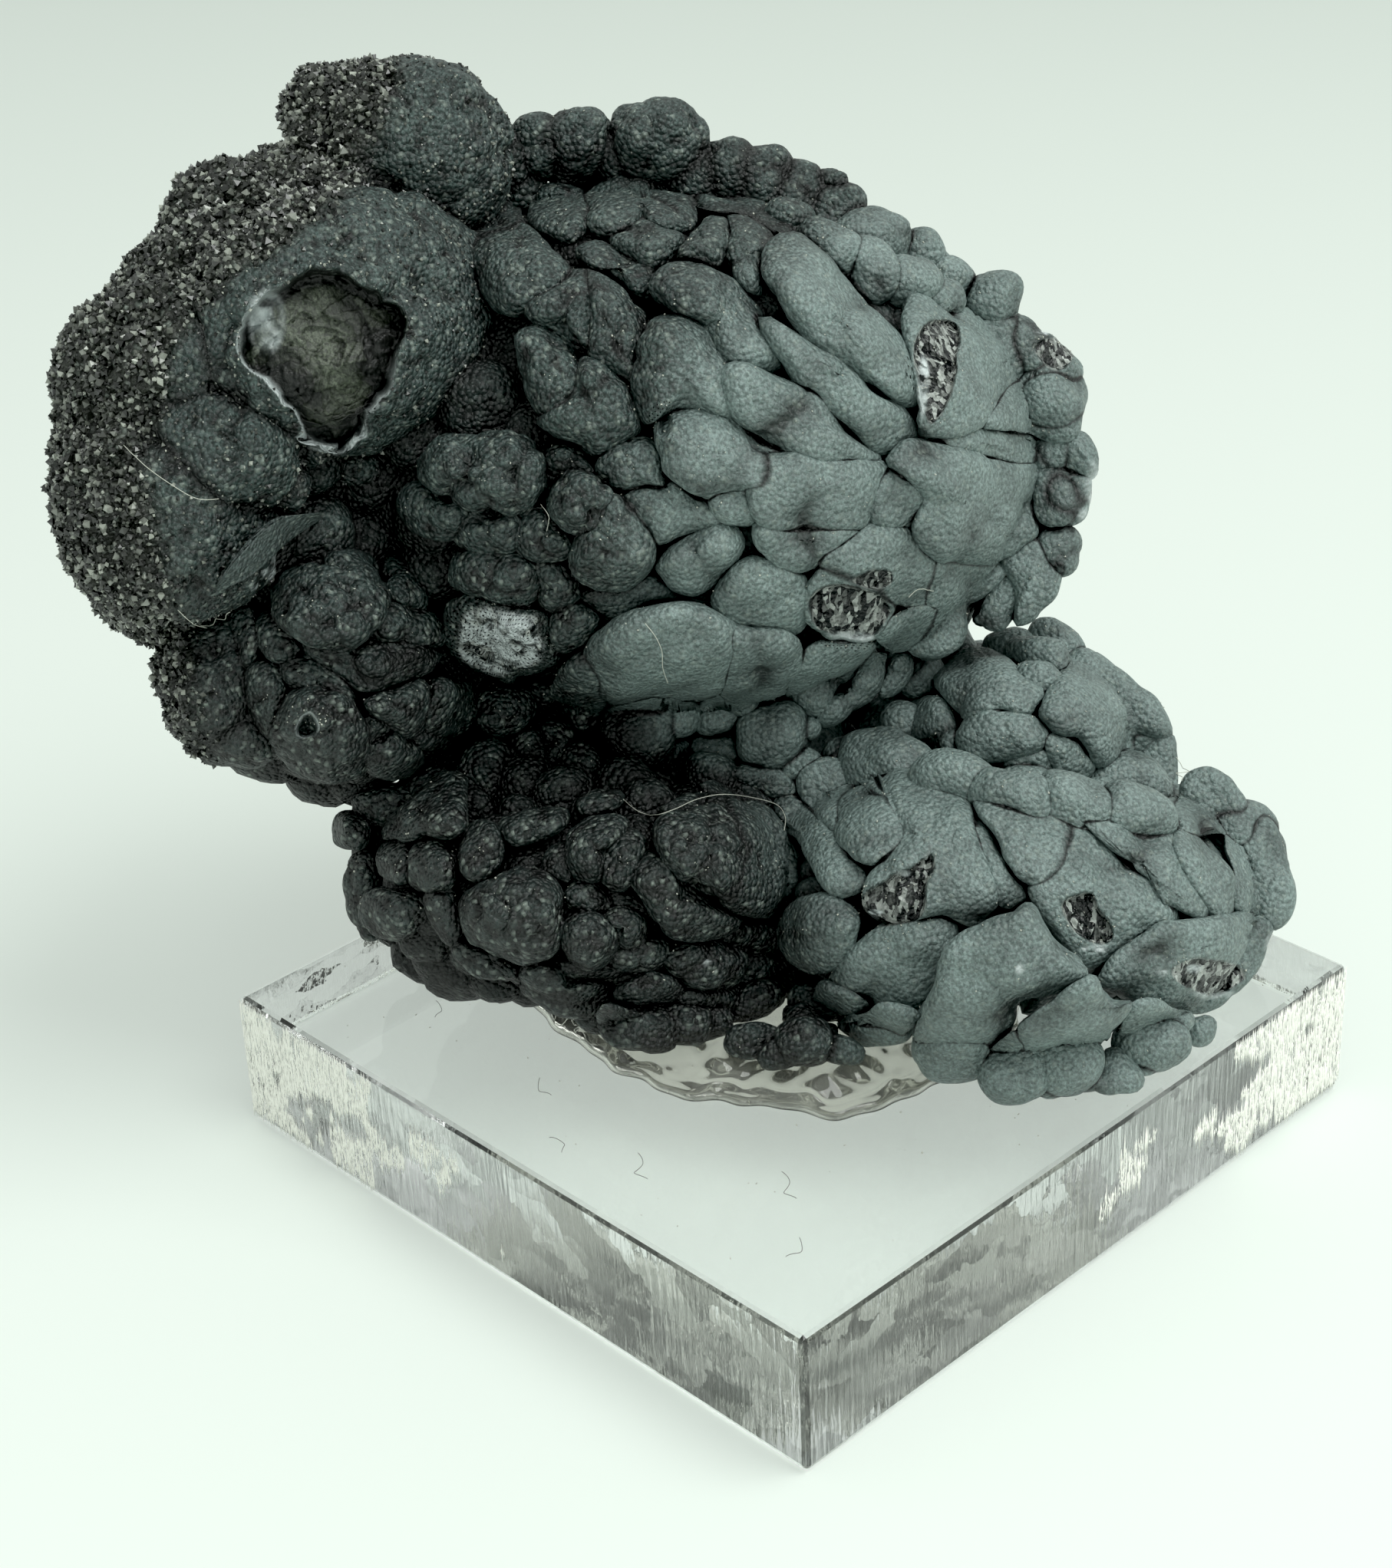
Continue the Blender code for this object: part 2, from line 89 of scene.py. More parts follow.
def sighted(core, across, up):
    """Where lines of sight through (across, up) first meet the core, or pass closest to it."""
    centre, radii = np.array(CORES[core], float)
    sight = np.stack([across, up, np.full_like(across, -PLANE_DISTANCE)], axis=-1)
    start, step = (VIEWER - centre) / radii, sight / radii
    a, b, c = dot(step, step), dot(start, step), dot(start, start) - 1
    reach = (-b - np.sqrt(np.maximum(b * b - a * c, 0))) / a
    return VIEWER + sight * reach[..., None]


def core_normal(core, points):
    centre, radii = np.array(CORES[core], float)
    return unit((points - centre) / radii ** 2)


def in_plane(points):
    """Where the viewer sees points: distances across and up in the plane that faces the viewer."""
    return (points[:, :2] * PLANE_DISTANCE / (PLANE_DISTANCE - points[:, 2:])).T


# Round lobes of the left domes, the skyline and the edges: across, up, half length, half width,
# tilt of the long way in degrees, lift to the viewer
LEFT_LOBES = [
    (-27.5, 60.5, 9, 8.6, 0, 0), (-34, 63.5, 5, 4.8, 0, 0), (-40, 55, 5.6, 5, 20, 0),
    (-46, 50, 5, 4.6, 30, 0), (-33, 51, 11, 8, 20, -2), (-34, 44, 14, 12, 10, -3),
    (-51, 40, 9.2, 7.5, 20, 0), (-54, 31, 6.8, 6.5, 0, 0), (-50, 27, 10, 10.5, 0, -1),
    (-52, 20, 5.5, 5, -20, 0), (-46, 33, 8, 7, 0, 0), (-42, 31, 3, 2.8, 0, 0),
    (-45.5, 28.5, 2.6, 2.4, 0, 0), (-40, 29, 2.5, 2.2, 0, 0), (-43.5, 35, 3.2, 3, 0, 1),
    (-48.5, 26, 3, 2.6, -20, 1), (-50, 22, 3, 2.5, -30, 1), (-47, 21.5, 2.5, 2, 0, 0),
    (-49, 18.5, 3, 2, -30, 0), (-26, 38, 4.6, 4.2, 0, 1), (-21, 40.5, 4.2, 4.8, 0, 0),
    (-22.5, 44.8, 2.8, 2.6, 0, 0), (-20.5, 35.8, 3.2, 1.7, 0, -1), (-31, 31, 4, 2.3, 15, -4),
    (-29, 46, 3.4, 3, 0, 2.4), (-25.5, 50, 3, 2.8, 0, 1), (-31, 55.5, 4.4, 3.4, 30, 3),
    (-24.5, 43, 2.4, 2.4, 0, 1), (-27, 34.5, 2.6, 2, 0, 0), (-38, 33, 2.6, 2, -20, 0),
]
SKYLINE_LOBES = [
    (-18.5, 60, 2.6, 2.6, 0, 0), (-15, 61.3, 2.8, 2.6, 0, 0), (-11.3, 61.6, 3, 2.9, 0, 0),
    (-3.6, 61.8, 4.2, 3.6, 0, 0), (-7.6, 60.3, 2.4, 2.2, 0, 0), (0, 58.6, 3, 2.8, 0, 0),
    (3, 59, 3, 2.8, 0, 0), (6, 58.4, 3, 2.8, 0, 0), (9.5, 56.8, 3, 2.8, 0, 0), (13.2, 54.8, 3.1, 2.9, 0, 0),
    (12.6, 51.5, 3, 2.6, -40, -1), (17, 52.4, 3, 2.8, 0, 0), (16.5, 49.5, 3, 2.4, -50, -1),
    (21.4, 51.2, 2.4, 2.3, 0, 0), (20.6, 48.4, 2.6, 2.4, 0, 0), (24.6, 48.4, 2.1, 2, 0, 0),
    (23.6, 46.8, 2, 1.7, 0, 0), (28.6, 46.9, 2.4, 2.3, 0, 0), (-21, 57.8, 2.4, 2.2, 0, 0),
    (-17, 57.4, 2.2, 2, 0, 0), (9, 54.4, 2, 1.8, 0, 0), (13, 58, 1.6, 1.4, 0, 0),
]
CAP_LOBES = [
    (34, 37, 3.2, 4, 0, -1), (34.9, 31.7, 2.4, 1.9, 0, -0.5), (37, 31.5, 1.6, 2.2, 0, 0),
    (34.9, 27.6, 2.7, 3, 0, -0.6), (34.7, 22.7, 2.3, 2.6, 0, -1), (32, 42.2, 3, 2.6, -30, -0.6),
]
CHEEK_LOBES = [
    (-45.5, 9.6, 5, 5.6, 0, 0), (-44, 5.5, 3.6, 3.4, -30, 0), (-42.5, 24.4, 1.8, 2, 0, 1),
    (-44, 21.5, 2.6, 1.4, 50, 1), (-40, 25, 3, 1.5, 25, 1), (-43.4, 19.4, 1.6, 1.4, 0, 0),
]
FOOT_LOBES = [
    (-33, -4.5, 1.7, 4.2, 0, 0), (-31.8, -10.5, 2, 4.2, 0, 0), (-29, -12.3, 3.5, 2.4, 0, -1),
    (-24, -12.6, 1.8, 3, 20, -0.5), (-20.3, -16.8, 3.2, 1.3, -25, 0), (14, -25.6, 2.6, 1.3, -10, -1),
    (8, -26, 2, 1.2, 0, -1), (5.5, -24.6, 2.5, 1.4, 0, -1), (9.8, 5, 1.8, 1.1, 10, 0),
    (1.4, -17, 3.3, 2.6, 0, 0), (5.5, -17.4, 3, 2.5, 0, 0), (8.8, -18.3, 2, 1.8, 0, 0),
    (1.6, -20.4, 3.6, 1.8, -10, 0), (-4, -20.3, 3.3, 1.9, 8, 0), (-5.4, -23.4, 3.4, 2.3, -10, 0),
    (-1.4, -23, 2.8, 1.9, 10, 0), (1.6, -22.7, 2, 1.5, 0, -0.5), (5.4, -21, 3, 1.4, 20, -0.5),
    (10.5, -24.9, 2.6, 2.1, 0, 0), (10.5, -22.6, 1.8, 1.3, 0, -0.5), (-9, -18, 4.4, 1.4, 0, -0.5),
    (-12.6, -20, 4, 1.9, -15, -0.5), (-9, -21.5, 2.6, 2, 0, -1), (6, -14.6, 3, 1.6, -10, -0.5),
    (14, -19, 3, 2, 0, -2), (12, -21, 2.6, 2, 0, -2),
]
BASE_LOBES = [
    (18.5, 1.6, 4.4, 3.4, -20, 2.2), (25, 0.2, 3.4, 2.6, -10, 2.2), (30.5, -1.6, 3.8, 2.6, -15, 2.2),
    (36.5, -2.2, 3.4, 2.8, -20, 2), (42, -3, 4, 2.8, -10, 1.8), (48.7, -24, 1.3, 1.3, 0, 0),
    (52, -4.5, 3, 3, 0, -0.6), (9, -2.4, 2, 2, 0, -0.6), (18, -22.8, 3.4, 2, 10, -1),
    (25.4, -24, 4.2, 3.6, 50, -1), (31, -27.4, 3.1, 2.8, 0, -1), (36, -27, 2.7, 3, 0, -1),
    (44, -25, 3, 2.4, 0, -1),
]
SHOULDER_LOBES = [
    (30.4, 13, 2.6, 1.8, -10, 0), (35, 13.6, 2.6, 1.7, -30, 0), (33, 12.2, 2.6, 1.7, -20, 0.5),
    (28.4, 1, 3.2, 1.4, -10, -1), (33, -0.6, 4, 1.2, -8, -2), (42, 5.5, 3, 3.6, -45, -0.5),
    (33, 10, 2, 2, 0, 0), (17.4, 7.6, 2.6, 1.8, 20, -1),
]

# Tongues and pillows that lie over the masses like scales: lift of the rim to the viewer, width of
# the rounded edge, spread past the outline, then the outline across and up
FINGERS_PILLOWS = [
    (1, 3.2, 0.3, [(-27.4, 55.5), (-26.8, 57.4), (-25, 59), (-22.6, 58.7), (-20, 57.4), (-18, 55.8),
     (-16.4, 54), (-18, 52.6), (-20.5, 50.6), (-21.8, 49.8), (-23.3, 50.8), (-25.5, 52.8), (-27, 54.3)]),
    (0.8, 3.4, 0.3, [(-20.8, 53.3), (-18.5, 53.9), (-16.5, 53.8), (-14.5, 52.4), (-12.6, 50.3),
     (-12.2, 48.5), (-14, 46.8), (-16.3, 45.6), (-18.5, 45.8), (-20.2, 47.5), (-21.2, 50.5)]),
    (0.6, 3.2, 0.5, [(-16, 46.8), (-14, 47.9), (-12.3, 49.2), (-10.5, 49.3), (-9.2, 48.4), (-9.3, 46),
     (-9.6, 43.5), (-9.8, 41.5), (-11.2, 41.9), (-13, 43.4), (-15, 44.4), (-16.2, 45.4)]),
    (0.9, 2.6, 0.5, [(-10.8, 49.2), (-9, 48.4), (-6.8, 46.5), (-5, 44.5), (-4.9, 42.5), (-5.3, 40),
     (-5.6, 38.2), (-7, 39.3), (-9, 40.8), (-10.6, 42), (-10.2, 45.5)]),
    (0.6, 2.6, 0.4, [(-17, 43), (-15.3, 43.8), (-13.8, 43), (-12, 41.3), (-10.8, 39.8), (-10.6, 38),
     (-11.3, 36.3), (-13, 35.2), (-15, 35.8), (-16, 37.5), (-16.6, 39.5), (-17, 41.3)]),
    (0.8, 3, 0.3, [(-11.3, 41.4), (-9.8, 40.8), (-8, 39.6), (-6.3, 38), (-5.3, 36), (-4.9, 34.3), (-7, 33),
     (-9.3, 31.8), (-11.5, 33), (-13.8, 34), (-15.2, 35.2), (-14, 36.4), (-12, 38.5)]),
    (1.2, 2.8, 0.2, [(-4, 48.2), (-3, 49.6), (-1, 50.2), (1.5, 49.7), (3.8, 48.3), (5.8, 46.5), (7, 45),
     (8, 43), (9.3, 41.2), (8, 40.1), (6, 39.7), (3.6, 40), (2, 41.8), (0.4, 43.7), (-1, 44.9),
     (-2.8, 45.4), (-3.6, 46.6)]),
    (1, 2.4, 0.5, [(5.8, 46.4), (7.5, 45.3), (9.5, 43.8), (11.5, 42.2), (13.5, 41), (15.2, 39.8),
     (17.5, 38.2), (19.5, 36.7), (21, 35.5), (21.5, 34.3), (19.8, 33.2), (17.8, 32.5), (15.6, 33.5),
     (13.5, 35.3), (11.8, 37.2), (10, 38.6), (8.6, 41), (7.2, 43.2)]),
    (1.6, 2.8, 0.3, [(-5.6, 41), (-5.1, 43.4), (-4.2, 44.8), (-2.6, 45), (-0.8, 44.5), (1, 43.2),
     (2.4, 41.6), (3.6, 40.1), (3.7, 38), (4.3, 36), (4.5, 34.6), (2.8, 35.3), (0.5, 36), (-2, 36),
     (-3.6, 35.4), (-4.3, 34.7), (-5.2, 36.3), (-5.7, 38.5)]),
    (1.5, 2, 0.6, [(3.2, 40.1), (5.5, 40), (7.8, 39.1), (10, 38.2), (12, 36.9), (13.6, 35), (15, 33.6),
     (17, 32.3), (18.3, 31.4), (16.5, 30.8), (14, 30.9), (11.7, 30.9), (9.5, 31.6), (7.3, 32.8), (5, 34.4),
     (3.8, 36.2), (3.2, 38)]),
    (1.4, 3.4, 0.2, [(6.3, 49.5), (6.8, 51.7), (8, 52.8), (9.8, 53.1), (11.5, 52), (13.3, 50.3), (15, 48.4),
     (16.6, 46.5), (18.2, 44.3), (19.8, 42.3), (21, 40.8), (21.3, 38.7), (21, 36.9), (19.7, 36.7),
     (17.5, 38.2), (15, 40), (12.8, 41.3), (10.8, 42.8), (9, 44.8), (7.6, 46.8), (6.7, 48.2)]),
    (1.9, 1.8, 0.1, [(6.8, 51), (7.3, 52.5), (9, 53), (11, 52.3), (12.5, 51), (13.3, 49.8), (12, 49.6),
     (10, 50.1), (8, 50)]),
    (1.5, 1.8, 0.2, [(-1.8, 50.8), (-0.8, 51.8), (0, 53), (0.8, 54.6), (2, 55), (3.2, 54), (3.3, 52.5),
     (2.8, 51), (2.2, 49.9), (0.8, 50.3), (-0.6, 50.6)]),
    (1.1, 2, 0.3, [(3, 54.9), (4.5, 54.9), (6, 53.8), (7, 52.4), (6.5, 50.8), (6.5, 49), (6.3, 47.5),
     (5.2, 47.3), (4.2, 48.5), (3.5, 50), (3.3, 51.5), (3.4, 53.2)]),
    (0, 1.6, 0.5, [(0, 56.5), (1.5, 57.2), (4, 57), (6.5, 56.4), (8.2, 55), (9.8, 53.5), (9, 53),
     (7.5, 52.7), (6, 53.9), (4.2, 55.1), (2, 55.2), (0.5, 55.2)]),
    (0.6, 2.4, 0.3, [(-10.3, 56.8), (-8.5, 58), (-6.5, 58.5), (-4.8, 58.9), (-3.5, 58.2), (-2, 57),
     (-0.3, 56), (0, 54.8), (-0.8, 53.8), (-2.8, 53.6), (-5, 54.4), (-7, 53.4), (-9, 53.6), (-10.3, 55)]),
    (0.5, 2.4, 0.3, [(-15.5, 55.6), (-14.8, 57.2), (-12.8, 57.8), (-10.8, 57.2), (-10.2, 55.3),
     (-10.8, 53.5), (-12, 52.6), (-14, 53.2), (-15.3, 54.2)]),
    (0.3, 2, 0.3, [(-7.8, 52.8), (-6.5, 54), (-4.8, 54.8), (-3.2, 53.8), (-2, 53.2), (-1, 52.5), (-2, 51),
     (-3.5, 49.8), (-5, 50), (-6.3, 51), (-7.3, 52)]),
    (0.2, 1.8, 0.3, [(-11.4, 51.5), (-10, 52.3), (-8.3, 52.2), (-7, 51), (-5.6, 50.2), (-4, 49.8),
     (-3.6, 48.8), (-4, 47.6), (-5.5, 47), (-7, 48.2), (-8.8, 49.3), (-10.3, 49.6)]),
    (0, 2.2, 0.4, [(-14.2, 60), (-13.4, 61.8), (-11.5, 62.4), (-9.7, 61.8), (-8.8, 60.2), (-9.5, 58.6),
     (-11.5, 57.9), (-13.5, 58.4)]),
]
CAP_PILLOWS = [
    (2.4, 2, 0.2, [(-3.9, 34.6), (-3.2, 35.9), (-1.5, 36.5), (0.8, 36.3), (3, 35.5), (4.7, 34.2),
     (6.2, 32.8), (8.2, 31.8), (8.6, 29.8), (7, 27.8), (4, 28), (2, 27.8), (0.9, 27.4), (-0.3, 27.8),
     (-1.7, 29), (-2.8, 30.4), (-3, 32)]),
    (2.3, 1, 0.3, [(1, 27.8), (2.5, 28.8), (5, 28.8), (6.8, 27.7), (6.3, 26.2), (5.3, 25.3), (3.3, 25.1),
     (2, 25.7), (1.2, 26.7)]),
    (2.5, 1, 0.7, [(5.8, 32.4), (8.5, 31.4), (11, 30.9), (14, 31.1), (17, 31), (18.2, 30.8), (17.9, 29.6),
     (17.2, 28.3), (16.8, 27.2), (16.1, 25.6), (14, 25), (11, 25.1), (8, 25), (6.2, 25.6), (5.4, 27.5),
     (5.2, 29.8)]),
    (2.3, 1.4, 0.3, [(5.8, 24.2), (6.2, 25.2), (8, 24.9), (11, 25.1), (14, 25), (16.2, 25.2), (16, 24.4),
     (14.8, 23.3), (13.2, 22), (11.5, 21), (9.5, 20.9), (7.8, 21.5), (6.4, 22.7)]),
    (1.2, 1.3, 0.3, [(20.2, 44.8), (20.6, 46.4), (22.5, 46.6), (24.5, 45.6), (27, 45.5), (30.9, 45.1),
     (32.6, 43.5), (33.2, 42), (32.2, 40.8), (31, 39), (30, 37.4), (28.6, 35.7), (27.7, 34.8), (25.5, 34.3),
     (23, 33.6), (21.8, 34), (22, 36.5), (21.3, 39), (20.6, 42)]),
    (0.9, 1, 0.5, [(33, 42), (34.5, 42.3), (36, 41), (36.6, 39.7), (36.3, 38), (36.7, 36), (36.4, 34),
     (35, 33.4), (33.4, 33.6), (32.2, 34.2), (30, 34.7), (28, 34.8), (28.8, 36), (30.3, 37.6), (31.4, 39.3),
     (32.3, 41)]),
    (0.4, 0.9, 0.3, [(23.4, 33.5), (25.5, 34.2), (28.5, 34.7), (31, 34.1), (32.8, 33.2), (33.1, 32),
     (32.3, 31), (30, 31.3), (27.5, 31.9), (25.3, 32.6)]),
    (1.6, 1.6, 0.2, [(18.4, 30.6), (19.2, 32), (21.3, 33.1), (23.5, 33.1), (26, 32.2), (29, 31.4),
     (32, 30.8), (33, 29.8), (32.4, 28.2), (32.4, 26.2), (33.2, 24.8), (33, 23.8), (31.5, 23), (30.5, 22.2),
     (29, 21.8), (26.5, 21.4), (24, 21.3), (22.3, 22.3), (21.1, 23.9), (21, 25.3), (22, 27.5),
     (20.4, 29.4)]),
    (1.3, 1.2, 0.4, [(17.4, 27.2), (17.7, 29), (18.6, 30.2), (21, 30.2), (23, 29), (24, 27), (23.6, 25.5),
     (21, 25.1), (18.8, 25.2), (17.7, 25.8)]),
    (1, 1.2, 0.2, [(33, 29.8), (34.6, 30.3), (36.6, 30.2), (37.8, 29.4), (37.6, 27.8), (36.8, 26.2),
     (35.6, 25), (34.2, 24.7), (33, 25.4), (32.4, 27), (32.5, 28.6)]),
    (0.2, 0.8, 0.4, [(32.8, 31.5), (33.5, 32.8), (35.3, 33), (36.8, 32.4), (37.2, 31), (36.2, 30.3),
     (34.5, 30.4), (33.2, 30.3)]),
    (0.3, 0.9, 0.3, [(33.6, 24.5), (35.3, 24.8), (36.4, 24.2), (36.4, 22.8), (35.8, 21.3), (35, 20.7),
     (34, 21.6), (33.4, 23)]),
    (0.6, 1.4, 0.3, [(30.5, 22.8), (32, 24), (33.6, 23.5), (34.2, 21.8), (34.8, 20.3), (34.5, 18.4),
     (33.3, 17.1), (31.8, 16), (30.4, 15.8), (30.8, 17), (30.9, 19), (30, 20.5), (29.5, 21.8)]),
    (0.5, 1, 0.3, [(26.5, 16.4), (27.8, 18), (29.2, 19.3), (30.3, 19.9), (30.9, 18.3), (30.6, 16.8),
     (29.5, 15.4), (28, 15), (26.8, 15.4)]),
    (1.3, 1.3, 0.3, [(21.5, 19.2), (22.8, 21.3), (26, 21.6), (28, 21.5), (29.8, 21), (29.6, 19.6),
     (28, 18.2), (26.4, 16.6), (26.2, 15), (25.4, 13.3), (23.9, 12.4), (22, 12.3), (20.6, 13.2),
     (21.4, 14.6), (22.2, 16.2), (21.6, 17.8)]),
    (2, 1.2, 0.5, [(12.3, 21.9), (14, 22.9), (16, 24.3), (17.8, 25.1), (19.8, 24.5), (21.2, 23.2),
     (22.6, 21.5), (23, 20), (22.6, 18.3), (21, 17), (18.5, 17.5), (15.5, 18.5), (13, 20)]),
    (2.6, 1.3, 0.2, [(10.8, 17.5), (11, 19.5), (12.2, 21), (14, 22), (16.5, 21.5), (18.5, 20.5),
     (19.3, 18.5), (19.3, 16.5), (18, 15), (16.5, 14.2), (14.5, 14), (12.3, 14.3), (11, 15.8)]),
    (2.6, 1, 0.2, [(17.5, 14.6), (18.3, 15.9), (20, 16.5), (21.8, 16.9), (23.3, 17), (22.9, 15.2),
     (21.7, 13.7), (19.8, 12.9), (18.2, 13.2)]),
    (2, 1.8, 0.2, [(2, 18), (2.6, 19.8), (3.9, 21.3), (5.6, 22.1), (7.5, 21.7), (9.5, 21.1), (10.9, 20),
     (11.1, 18), (10.9, 16), (10, 14.6), (7.7, 14.6), (5, 15), (3, 16), (2.2, 16.9)]),
]
BAND_PILLOWS = [
    (1.4, 2.6, 0.2, [(-3.8, 21.2), (-3.2, 22.6), (-1.8, 23.4), (0.2, 24.3), (2.3, 25), (3.8, 24.2),
     (4.3, 22.8), (3.4, 21), (1.7, 19.5), (0, 18.8), (-1.8, 18.9), (-3.2, 19.9)]),
    (0.9, 1.8, 0.5, [(-7.3, 27.3), (-5.5, 28.7), (-3.3, 29), (-2, 29.6), (-0.5, 28.5), (1, 27.2), (2.3, 26),
     (3, 25.2), (1, 24.6), (-1.5, 23.7), (-3.6, 23.1), (-5, 24.5), (-6.4, 25.6)]),
    (0.9, 1.8, 0.3, [(-9.2, 31), (-8.5, 32.3), (-6.6, 33), (-4.3, 33.3), (-3.3, 32.2), (-3.1, 30.2),
     (-3, 28.6), (-5, 28.9), (-7, 28.4), (-8.3, 29.3)]),
    (1.2, 2.8, 0.3, [(-12, 22), (-11.5, 24), (-10, 25.3), (-9, 27.2), (-7.5, 28.2), (-6.2, 27.3),
     (-5.2, 25.5), (-3.8, 23.3), (-3.7, 21.6), (-4.8, 20.2), (-6.8, 19.3), (-9, 19.1), (-11, 19.9),
     (-12, 20.8)]),
    (2, 2.4, 0.2, [(-14.3, 27), (-13.6, 28.8), (-12, 29.8), (-10, 29.9), (-8.4, 29), (-7.8, 27.2),
     (-8.5, 25.3), (-9.9, 23.9), (-11.8, 24.4), (-13.5, 25.4)]),
    (1.2, 3, 0.2, [(-26.4, 30.5), (-25.9, 32.3), (-24.5, 33.2), (-22, 33), (-20, 33.7), (-17.5, 33.5),
     (-15.5, 32.3), (-14.6, 30.5), (-15, 28.5), (-16.5, 27), (-19, 26.4), (-21.5, 26.8), (-23.5, 27.7),
     (-25.5, 29)]),
    (0, 2.4, 0.3, [(-28.7, 26.5), (-28.2, 28.2), (-26.7, 28.9), (-25, 27.9), (-23.2, 27), (-21.8, 26),
     (-22.3, 24.5), (-23.8, 23.9), (-25.8, 24), (-27.5, 24.8)]),
    (0.5, 2, 0.3, [(-23.1, 24), (-22.5, 25.6), (-20, 26.3), (-17.5, 26), (-17, 24.2), (-17.5, 22.6),
     (-19.5, 22), (-21.8, 22.5)]),
    (0.8, 2, 0.3, [(-17, 24.5), (-16.5, 26), (-15.2, 26.4), (-13.8, 25.2), (-12.4, 23.9), (-12.3, 22.6),
     (-13.8, 21.8), (-15.6, 21.8), (-16.8, 22.8)]),
    (0, 1.6, 0.3, [(-15, 31), (-13.8, 32.6), (-12.3, 32.8), (-10.8, 31.6), (-9.4, 30.5), (-10.5, 29.8),
     (-12.5, 29.7), (-14.2, 29.6)]),
    (1, 2.4, 0.2, [(-23.8, 21), (-22.8, 22.3), (-20, 22.2), (-17.5, 21.9), (-15.6, 20.8), (-15.2, 19),
     (-16, 17.3), (-18, 16.9), (-20.5, 17.6), (-22.8, 18.6), (-23.7, 19.6)]),
    (0.6, 1.8, 0.3, [(-15.6, 20.8), (-14.2, 21.3), (-12.3, 20.2), (-11.6, 18.5), (-12.6, 17), (-14.5, 16.8),
     (-15.5, 17.5), (-15.2, 19.2)]),
    (1, 2, 0.2, [(-14.4, 15), (-13.5, 17), (-11.8, 17.6), (-10.5, 16.9), (-9.6, 15.6), (-10.6, 13.9),
     (-12.3, 12.8), (-14.2, 13.1)]),
    (-0.5, 1.4, 0.3, [(-11.6, 18.3), (-9.5, 19), (-6.5, 19.6), (-4, 19.9), (-2.3, 19), (-1.9, 18),
     (-4, 17.3), (-6, 16.3), (-8.5, 15.6), (-10.3, 16.5)]),
    (2.2, 2.2, 0.2, [(-24.2, 13.5), (-23.7, 16.8), (-22.5, 17.8), (-20, 17.6), (-17, 17.2), (-14.8, 16.6),
     (-14.4, 14.5), (-13.2, 12.3), (-14.8, 10.9), (-16.8, 10.8), (-18, 9.9), (-20, 10.7), (-22.5, 11.1),
     (-23.9, 12)]),
    (4.6, 3.2, 0.3, [(-10.4, 12.6), (-9, 14.8), (-6.5, 16.3), (-3.5, 17.1), (-0.5, 17.2), (1.8, 16.4),
     (3.6, 15), (4, 12.5), (3.5, 10), (1.5, 8.2), (-0.5, 7.8), (-3, 8.3), (-5.5, 8), (-8.2, 7.8),
     (-9.3, 10.2)]),
    (4.4, 2.4, 0.3, [(2.4, 15), (5.5, 14.9), (8.4, 14.5), (10.2, 13.2), (9.4, 11.2), (8, 9.2), (6.3, 7.6),
     (4.6, 6.8), (2.8, 8.4), (2.2, 10.5), (2.2, 12.8)]),
    (3.9, 2.4, 0.2, [(-13.6, 9), (-12.8, 11), (-11, 12.3), (-9, 12.7), (-7.5, 11), (-7.6, 8.6), (-8.8, 7.2),
     (-9.7, 5.8), (-11.5, 5.3), (-13, 6.8)]),
    (4.4, 2.2, 0.2, [(-9, 5.5), (-8.8, 7.3), (-7.5, 8.9), (-5, 9.4), (-3, 8.7), (-2.6, 6.5), (-2.9, 5),
     (-4.5, 3.8), (-6.5, 3.2), (-8.3, 3.9)]),
    (4.3, 1.6, 0.2, [(-3.5, 9.3), (-2, 9.6), (-0.8, 8.2), (0.1, 6.8), (-0.2, 5.2), (-1.3, 4.4), (-2.8, 4.4),
     (-3.2, 6.2), (-3.6, 7.9)]),
    (4, 1.6, 0.2, [(0.3, 6), (0.5, 7.8), (2, 8.8), (4, 8.5), (5.2, 7.3), (4, 5.9), (2.5, 4.9), (0.8, 4.9)]),
    (1.8, 1.8, 0.2, [(3.6, 4.5), (4.5, 6.3), (6, 7.6), (7.4, 8.6), (8.2, 7.4), (8, 5.8), (7.2, 4.3),
     (5.8, 2.8), (4.5, 2), (3.9, 3)]),
    (0.5, 1.6, 0.3, [(-0.2, 3.2), (0.3, 4.4), (2, 4.9), (3.8, 4.5), (4.3, 3), (3.9, 2.1), (1.5, 2),
     (0.2, 2.3)]),
    (1, 1.8, 0.2, [(-7.7, 2.6), (-6.5, 3.4), (-3.5, 3.9), (-1, 4.1), (-0.8, 3), (-2, 1.5), (-3.5, 0.2),
     (-5, 0), (-6.7, 0.9)]),
    (2.6, 2.6, 0.2, [(8.4, 9.2), (9.2, 11.5), (10.3, 13.3), (13, 13.9), (16.3, 13.8), (17.5, 12.8),
     (16, 10.8), (14, 8.6), (12, 6.6), (10.8, 6.6), (9, 7.6)]),
    (2.4, 2.2, 0.4, [(11.7, 7), (13.5, 9.3), (15.5, 11.4), (17.2, 12.8), (17.8, 11.8), (17.9, 10.5),
     (17, 8.8), (15.3, 7.2), (13.2, 6), (11.8, 6)]),
    (0.5, 1.6, 0.3, [(17.3, 9.2), (18, 11.5), (19.5, 12.8), (20.6, 12.5), (20.5, 11), (19.5, 9.8),
     (18.3, 8.8)]),
]
